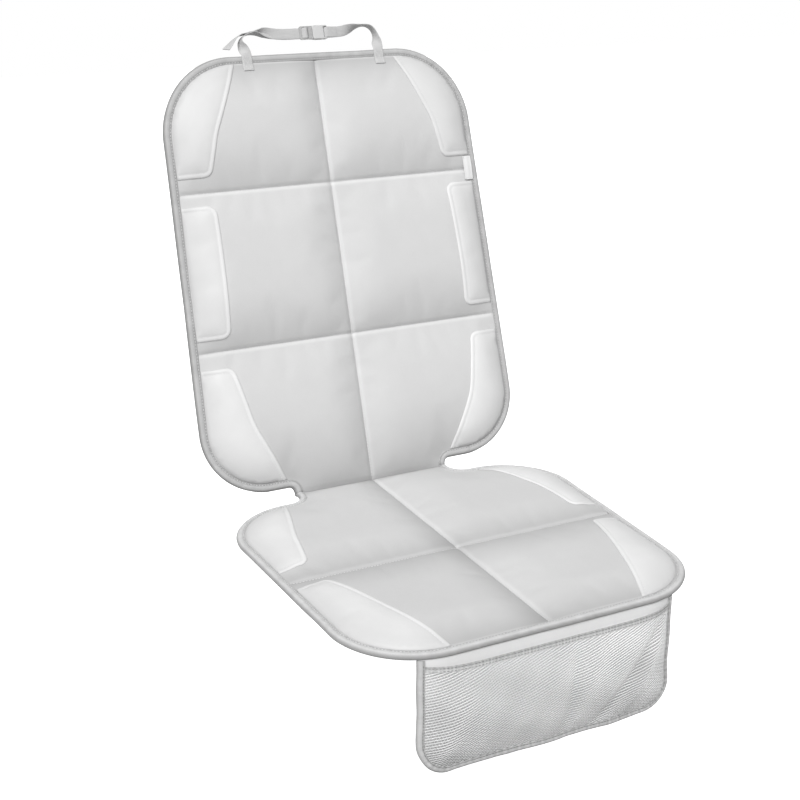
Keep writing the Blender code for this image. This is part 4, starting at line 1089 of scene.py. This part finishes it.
def make_hem(looks):
    """The elastic hem at the pocket's mouth, pale below and dark above with a painted shadow under the
    mouth's edge, and its two seams.
    """
    side = POCKET_HALF - POCKET_TAPE - GAP
    low, high = -MOUTH_DROP - HEM_HEIGHT, -MOUTH_DROP
    lines = np.linspace(-side, side, 361), np.linspace(low, high, 13)
    points, quads, _, _ = grid_plan(*lines, rectangle(-side, low, side, high))
    x, t = points.T
    arch = np.sin(math.pi * (t - low) / HEM_HEIGHT)
    curve = front_curve(x) + net_level(points)
    top = curve + HEM_RISE + arch * (0.0006 + 0.00022 * sine(x, 0.0052))
    places, made = shell(points, quads, top, curve - 0.0002)
    x, t = places[:, 0], places[:, 1]
    # Painted shadow darkens the top of the hem under the mouth's edge.
    tone = np.interp((t - low) / HEM_HEIGHT, (0.0, 0.45, 0.70, 1.0), (1.45, 1.36, 0.90, 0.84))
    tone += 0.16 * sine(x, 0.0058) * sine(x, 0.0213)
    hem = panel_piece(POCKET, "pocket_hem_band", "binding", ["pocket_hem"], places, made,
                      looks["hem"], sharp=70, tone=tone)
    runs = []
    for t in (low + 0.0016, high - 0.0016):
        run = even([(-side + 0.002, t), (side - 0.002, t)], 0.002)
        runs.append(on_panel(POCKET, run, front_curve(run[:, 0]) + net_level(run) + HEM_RISE + 0.0004))
    return hem, runs


def make_pocket(looks):
    net_top = -MOUTH_DROP - HEM_HEIGHT * 0.55
    make_flap(looks, net_top)
    net = make_net(looks, net_top)
    hem, runs = make_hem(looks)
    run = even(pocket_outline(), 0.0030)[::-1]
    level = 2 * GAP + 0.0008 + POCKET_WALL
    places, faces, uv, tone = tape_mesh(run, 0.0039, POCKET_TAPE, POCKET_WALL, 11, front_curve)
    # Painted shade on the tape's bottom and right side, with uneven lighter and darker spots along it
    # there.
    bottom = np.clip((0.030 - POCKET_DROP - places[:, 1]) / 0.020, 0, 1)
    right = np.clip((places[:, 0] - POCKET_HALF + 0.020) / 0.010, 0, 1) * (1 - bottom)
    rough = sine(uv[:, 0], 0.0074) * sine(uv[:, 0], 0.0310, 1)
    tone *= (1.12 - 0.19 * bottom - 0.14 * right) * (1 + 0.22 * rough * (bottom + right))
    places[:, 2] += level
    panel_piece(POCKET, "pocket_tape", "binding", ["pocket_binding"], places, faces,
                looks["pocket_tape"], uv=uv, flip=False, sharp=75, tone=tone)
    line = even((run + left_of(run, 3) * POCKET_TAPE * THREAD_SHARE)[2:-2], 0.002)
    runs.append(on_panel(POCKET, line, front_curve(line[:, 0]) + level - THREAD_SINK))
    thread = stitches("pocket_thread", "binding", looks["grey_thread"], runs)


# Materials

class Nodes:
    """Nodes of a material or of the world, made one after another."""

    def __init__(self, owner, main):
        owner.use_nodes = True
        self.tree = owner.node_tree
        self.main = self.tree.nodes[main]

    def set(self, inputs, node=None):
        """Values and links of a node's inputs, the main node's unless another is given."""
        node = node or self.main
        for key, value in inputs.items():
            if isinstance(value, bpy.types.NodeSocket):
                self.tree.links.new(value, node.inputs[key])
            else:
                node.inputs[key].default_value = value

    def add(self, kind, inputs=(), **settings):
        node = self.tree.nodes.new(kind)
        for key, value in settings.items():
            setattr(node, key, value)
        self.set(dict(inputs), node)
        return node.outputs

    def math(self, operation, one, two=0.0):
        return self.add("ShaderNodeMath", {0: one, 1: two}, operation=operation)[0]

    def ranged(self, value, low, high, start=0.0, end=1.0):
        """A value between start and end, spread over low to high."""
        return self.add("ShaderNodeMapRange", {"Value": value, "From Min": start, "From Max": end,
                                               "To Min": low, "To Max": high})[0]


class Look(Nodes):
    """A grey material, whose tone may come with the mesh."""

    def __init__(self, name, grey, roughness, toned=False):
        self.material = bpy.data.materials.new(name)
        super().__init__(self.material, "Principled BSDF")
        self.grey = grey
        self.toned = toned
        self.set({"Roughness": roughness, "Specular IOR Level": 0.25})

    def spot(self):
        return self.add("ShaderNodeTexCoord")["Object"]

    def metres(self):
        """Metres along and across the cloth."""
        uv = self.add("ShaderNodeUVMap", uv_map="metres")["UV"]
        return list(self.add("ShaderNodeSeparateXYZ", {0: uv}))[:2]

    def waves(self, value, pitch):
        return self.math("SINE", self.math("MULTIPLY", value, 2 * math.pi / pitch))

    def noise(self, size, detail=3.0, roughness=0.55):
        return self.add("ShaderNodeTexNoise", {"Vector": self.spot(), "Scale": 1 / size,
                                               "Detail": detail, "Roughness": roughness})["Fac"]

    def blend(self, one, two, share=0.5):
        """A share of one value and the rest of another."""
        return self.math("ADD", self.math("MULTIPLY", one, share), self.math("MULTIPLY", two, 1 - share))

    def tint(self, noise, low, high):
        """The grey times a value between low and high, and times the mesh's tone."""
        scale = self.ranged(noise, low, high, 0.3, 0.7)
        if self.toned:
            tone = self.add("ShaderNodeAttribute", attribute_name="tone")["Fac"]
            scale = self.math("MULTIPLY", scale, tone)
        colour = {0: (self.grey, self.grey, self.grey), "Scale": scale}
        self.set({"Base Color": self.add("ShaderNodeVectorMath", colour, operation="SCALE")[0]})

    def finish(self, *bumps):
        """The material, with bumps of a height, a distance and a strength, one over another."""
        under = {}
        for height, far, strength in bumps:
            inputs = {"Height": height, "Distance": far, "Strength": strength, **under}
            under = {"Normal": self.add("ShaderNodeBump", inputs)[0]}
        self.set(under)
        return self.material


def woven(name, grey, pitch, roughness=0.85, depth=0.00012, toned=False):
    """Plain-woven cloth: threads over and under, with slubs and a slightly uneven tone."""
    made = Look(name, grey, roughness, toned)
    x, y = made.metres()
    checks = made.math("MULTIPLY", made.waves(x, pitch), made.waves(y, pitch))
    made.tint(made.blend(made.noise(0.0016, 4), made.noise(0.035, 2)), 0.98, 1.02)
    made.set({"Sheen Weight": 0.15, "Sheen Roughness": 0.5})
    return made.finish((made.noise(0.0060), 0.00022, 0.7), (checks, depth, 0.8))


def ribbed(name, grey, pitch, across=None, toned=True):
    """Tape or webbing: ribs across its length, and cords along it where their pitch is given."""
    made = Look(name, grey, 0.8, toned)
    x, y = made.metres()
    height = made.waves(x, pitch)
    if across:
        height = made.math("ADD", made.math("MULTIPLY", height, 0.5), made.waves(y, across))
    made.tint(made.blend(made.noise(0.0018, 4), made.noise(0.02, 2), 0.55), 0.93, 1.07)
    made.set({"Sheen Weight": 0.1})
    return made.finish((made.noise(0.004), 0.0002, 0.8), (height, 0.00012, 0.8))


def leatherette(name, grey):
    """Smooth coated cloth with a fine pebbled grain."""
    made = Look(name, grey, 0.48, toned=True)
    cells = made.add("ShaderNodeTexVoronoi", {"Vector": made.spot(), "Scale": 1 / 0.0016},
                     feature="F1")["Distance"]
    made.tint(made.noise(0.05), 0.975, 1.02)
    made.set({"Coat Weight": 0.08, "Coat Roughness": 0.35})
    return made.finish((cells, 0.00007, 0.8), (made.noise(0.011, 5, 0.6), 0.0004, 0.5))


def plastic(name, grey):
    """Moulded plastic with a fine spark-eroded texture and rubbed patches."""
    made = Look(name, grey, 0.38)
    rubbed = made.noise(0.006)
    made.tint(rubbed, 0.96, 1.04)
    made.set({"Roughness": made.ranged(rubbed, 0.30, 0.48)})
    return made.finish((made.noise(0.0005, 2), 0.00004, 0.6))


def twisted(name, grey, toned=False):
    """Thread and small rubber dots, with fine grain alone."""
    made = Look(name, grey, 0.6, toned)
    made.tint(made.noise(0.0008, 2), 0.92, 1.06)
    return made.finish((made.noise(0.0004, 2), 0.00005, 0.7))


def rubber(name, grey, pitch=0.0022):
    """Rubbered backing with a slanted lattice."""
    made = Look(name, grey, 0.7)
    x, y = made.metres()
    slants = [made.waves(made.math(way, x, y), pitch) for way in ("ADD", "SUBTRACT")]
    made.tint(made.noise(0.02), 0.94, 1.05)
    return made.finish((made.math("MULTIPLY", *slants), 0.0002, 0.7))


def make_looks():
    return {
        "back_cover": woven("back_quilted_cloth", 0.715, 0.0013, toned=True),
        # The seat's cloth is the back's cloth, given a darker grey as painted shade.
        "seat_cover": woven("seat_quilted_cloth_painted_shade", 0.66, 0.0013, toned=True),
        "backing": rubber("non_slip_backing", 0.42),
        "grip": twisted("grip_rubber", 0.52),
        "thread": twisted("light_thread", 0.80),
        "grey_thread": twisted("grey_thread", 0.20),
        "back_tape": ribbed("back_binding_tape", 0.52, 0.0011),
        # The seat's tape is the back's tape, given a paler grey as painted light.
        "seat_tape": ribbed("seat_binding_tape_painted_light", 0.62, 0.0011),
        "pocket_tape": ribbed("pocket_binding_tape", 0.56, 0.0011),
        "hem": ribbed("elastic_hem", 0.52, 0.0014, 0.0020),
        "patch": leatherette("coated_cloth", 0.78),
        "label": woven("label_satin", 0.84, 0.0007, 0.5, 0.00004),
        "webbing": ribbed("strap_webbing", 0.60, 0.0015, 0.0018, toned=False),
        "buckle": plastic("buckle_plastic", 0.66),
        "plug": plastic("plug_plastic", 0.50),
        # The same woven cloth as the cover, given a paler grey as painted light on this upright panel under
        # the seat's edge.
        "pocket": woven("pocket_cloth_painted_light", 0.92, 0.0013, toned=True),
        "net": twisted("net_thread", 0.88, toned=True),
    }


# Stage

def direction(azimuth, elevation):
    a, e = math.radians(azimuth), math.radians(elevation)
    return Vector((math.sin(a) * math.cos(e), -math.cos(a) * math.cos(e), math.sin(e)))


def make_camera():
    data = bpy.data.cameras.new("camera")
    data.sensor_width = SENSOR
    data.lens = CAMERA_LENS
    data.clip_start = 0.05
    data.clip_end = 60
    camera = bpy.data.objects.new("camera", data)
    back = direction(CAMERA_AZIMUTH, CAMERA_ELEVATION)
    a = math.radians(CAMERA_AZIMUTH)
    right = Vector((math.cos(a), math.sin(a), 0))
    up = back.cross(right)
    turned = Matrix((right, up, back)).transposed() @ Matrix.Rotation(math.radians(CAMERA_ROLL), 3, "Z")
    camera.matrix_world = Matrix.Translation(CAMERA_PLACE) @ turned.to_4x4()
    bpy.context.scene.collection.objects.link(camera)
    bpy.context.scene.camera = camera


def camera_seen(nodes):
    """1 for rays from the camera, mirrors and glass, else 0."""
    path = nodes.add("ShaderNodeLightPath")
    seen = nodes.math("MAXIMUM", path["Is Camera Ray"], path["Is Glossy Ray"])
    return nodes.math("MAXIMUM", seen, path["Is Transmission Ray"])


def make_stage():
    scene = bpy.context.scene
    scene.view_settings.view_transform = "Standard"
    scene.world = bpy.data.worlds.new("studio")
    sky = Nodes(scene.world, "Background")
    sky.set({"Color": WHITE, "Strength": sky.ranged(camera_seen(sky), SKY_STRENGTH, 1.0)})

    lamp = bpy.data.lights.new("key", "SUN")
    lamp.energy = KEY_STRENGTH
    lamp.angle = math.radians(KEY_SPREAD)
    key = bpy.data.objects.new("key", lamp)
    key.rotation_mode = "QUATERNION"
    key.rotation_quaternion = direction(KEY_AZIMUTH, KEY_ELEVATION).to_track_quat("Z", "Y")
    scene.collection.objects.link(key)

    look = bpy.data.materials.new("floor")
    nodes = Nodes(look, "Principled BSDF")
    seen = camera_seen(nodes)
    nodes.set({"Base Color": nodes.ranged(seen, FLOOR_BOUNCE, FLOOR_PALE), "Roughness": 1.0,
               "Specular IOR Level": 0.0, "Emission Color": WHITE,
               "Emission Strength": nodes.ranged(seen, 0.0, FLOOR_GLOW)})
    half = FLOOR_SIZE / 2
    corners = [(x, y, FLOOR_LEVEL) for x, y in rectangle(-half, -half, half, half)[:4]]
    mesh_object("floor", corners, [(0, 1, 2, 3)], look)


def main():
    for thing in list(bpy.data.objects):
        bpy.data.objects.remove(thing, do_unlink=True)
    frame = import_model()
    make_camera()
    make_stage()
    looks = make_looks()
    level_of = {}
    for panel in (BACK, SEAT):
        level = face_level(panel)
        level_of[panel["name"]] = level
        make_quilt(panel, level, looks)
        make_backing(panel, looks)
        make_binding(panel, looks)
        make_seam_thread(panel, level, looks)
    make_patches(level_of, looks)
    make_label(level_of["back"], looks)
    make_straps(level_of["back"], looks)
    make_pocket(looks)
    for node, look in (("buckle_socket", "buckle"), ("buckle_plug", "plug")):
        part = frame["nodes"][node]
        part.data.materials.clear()
        part.data.materials.append(looks[look])
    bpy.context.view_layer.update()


main()
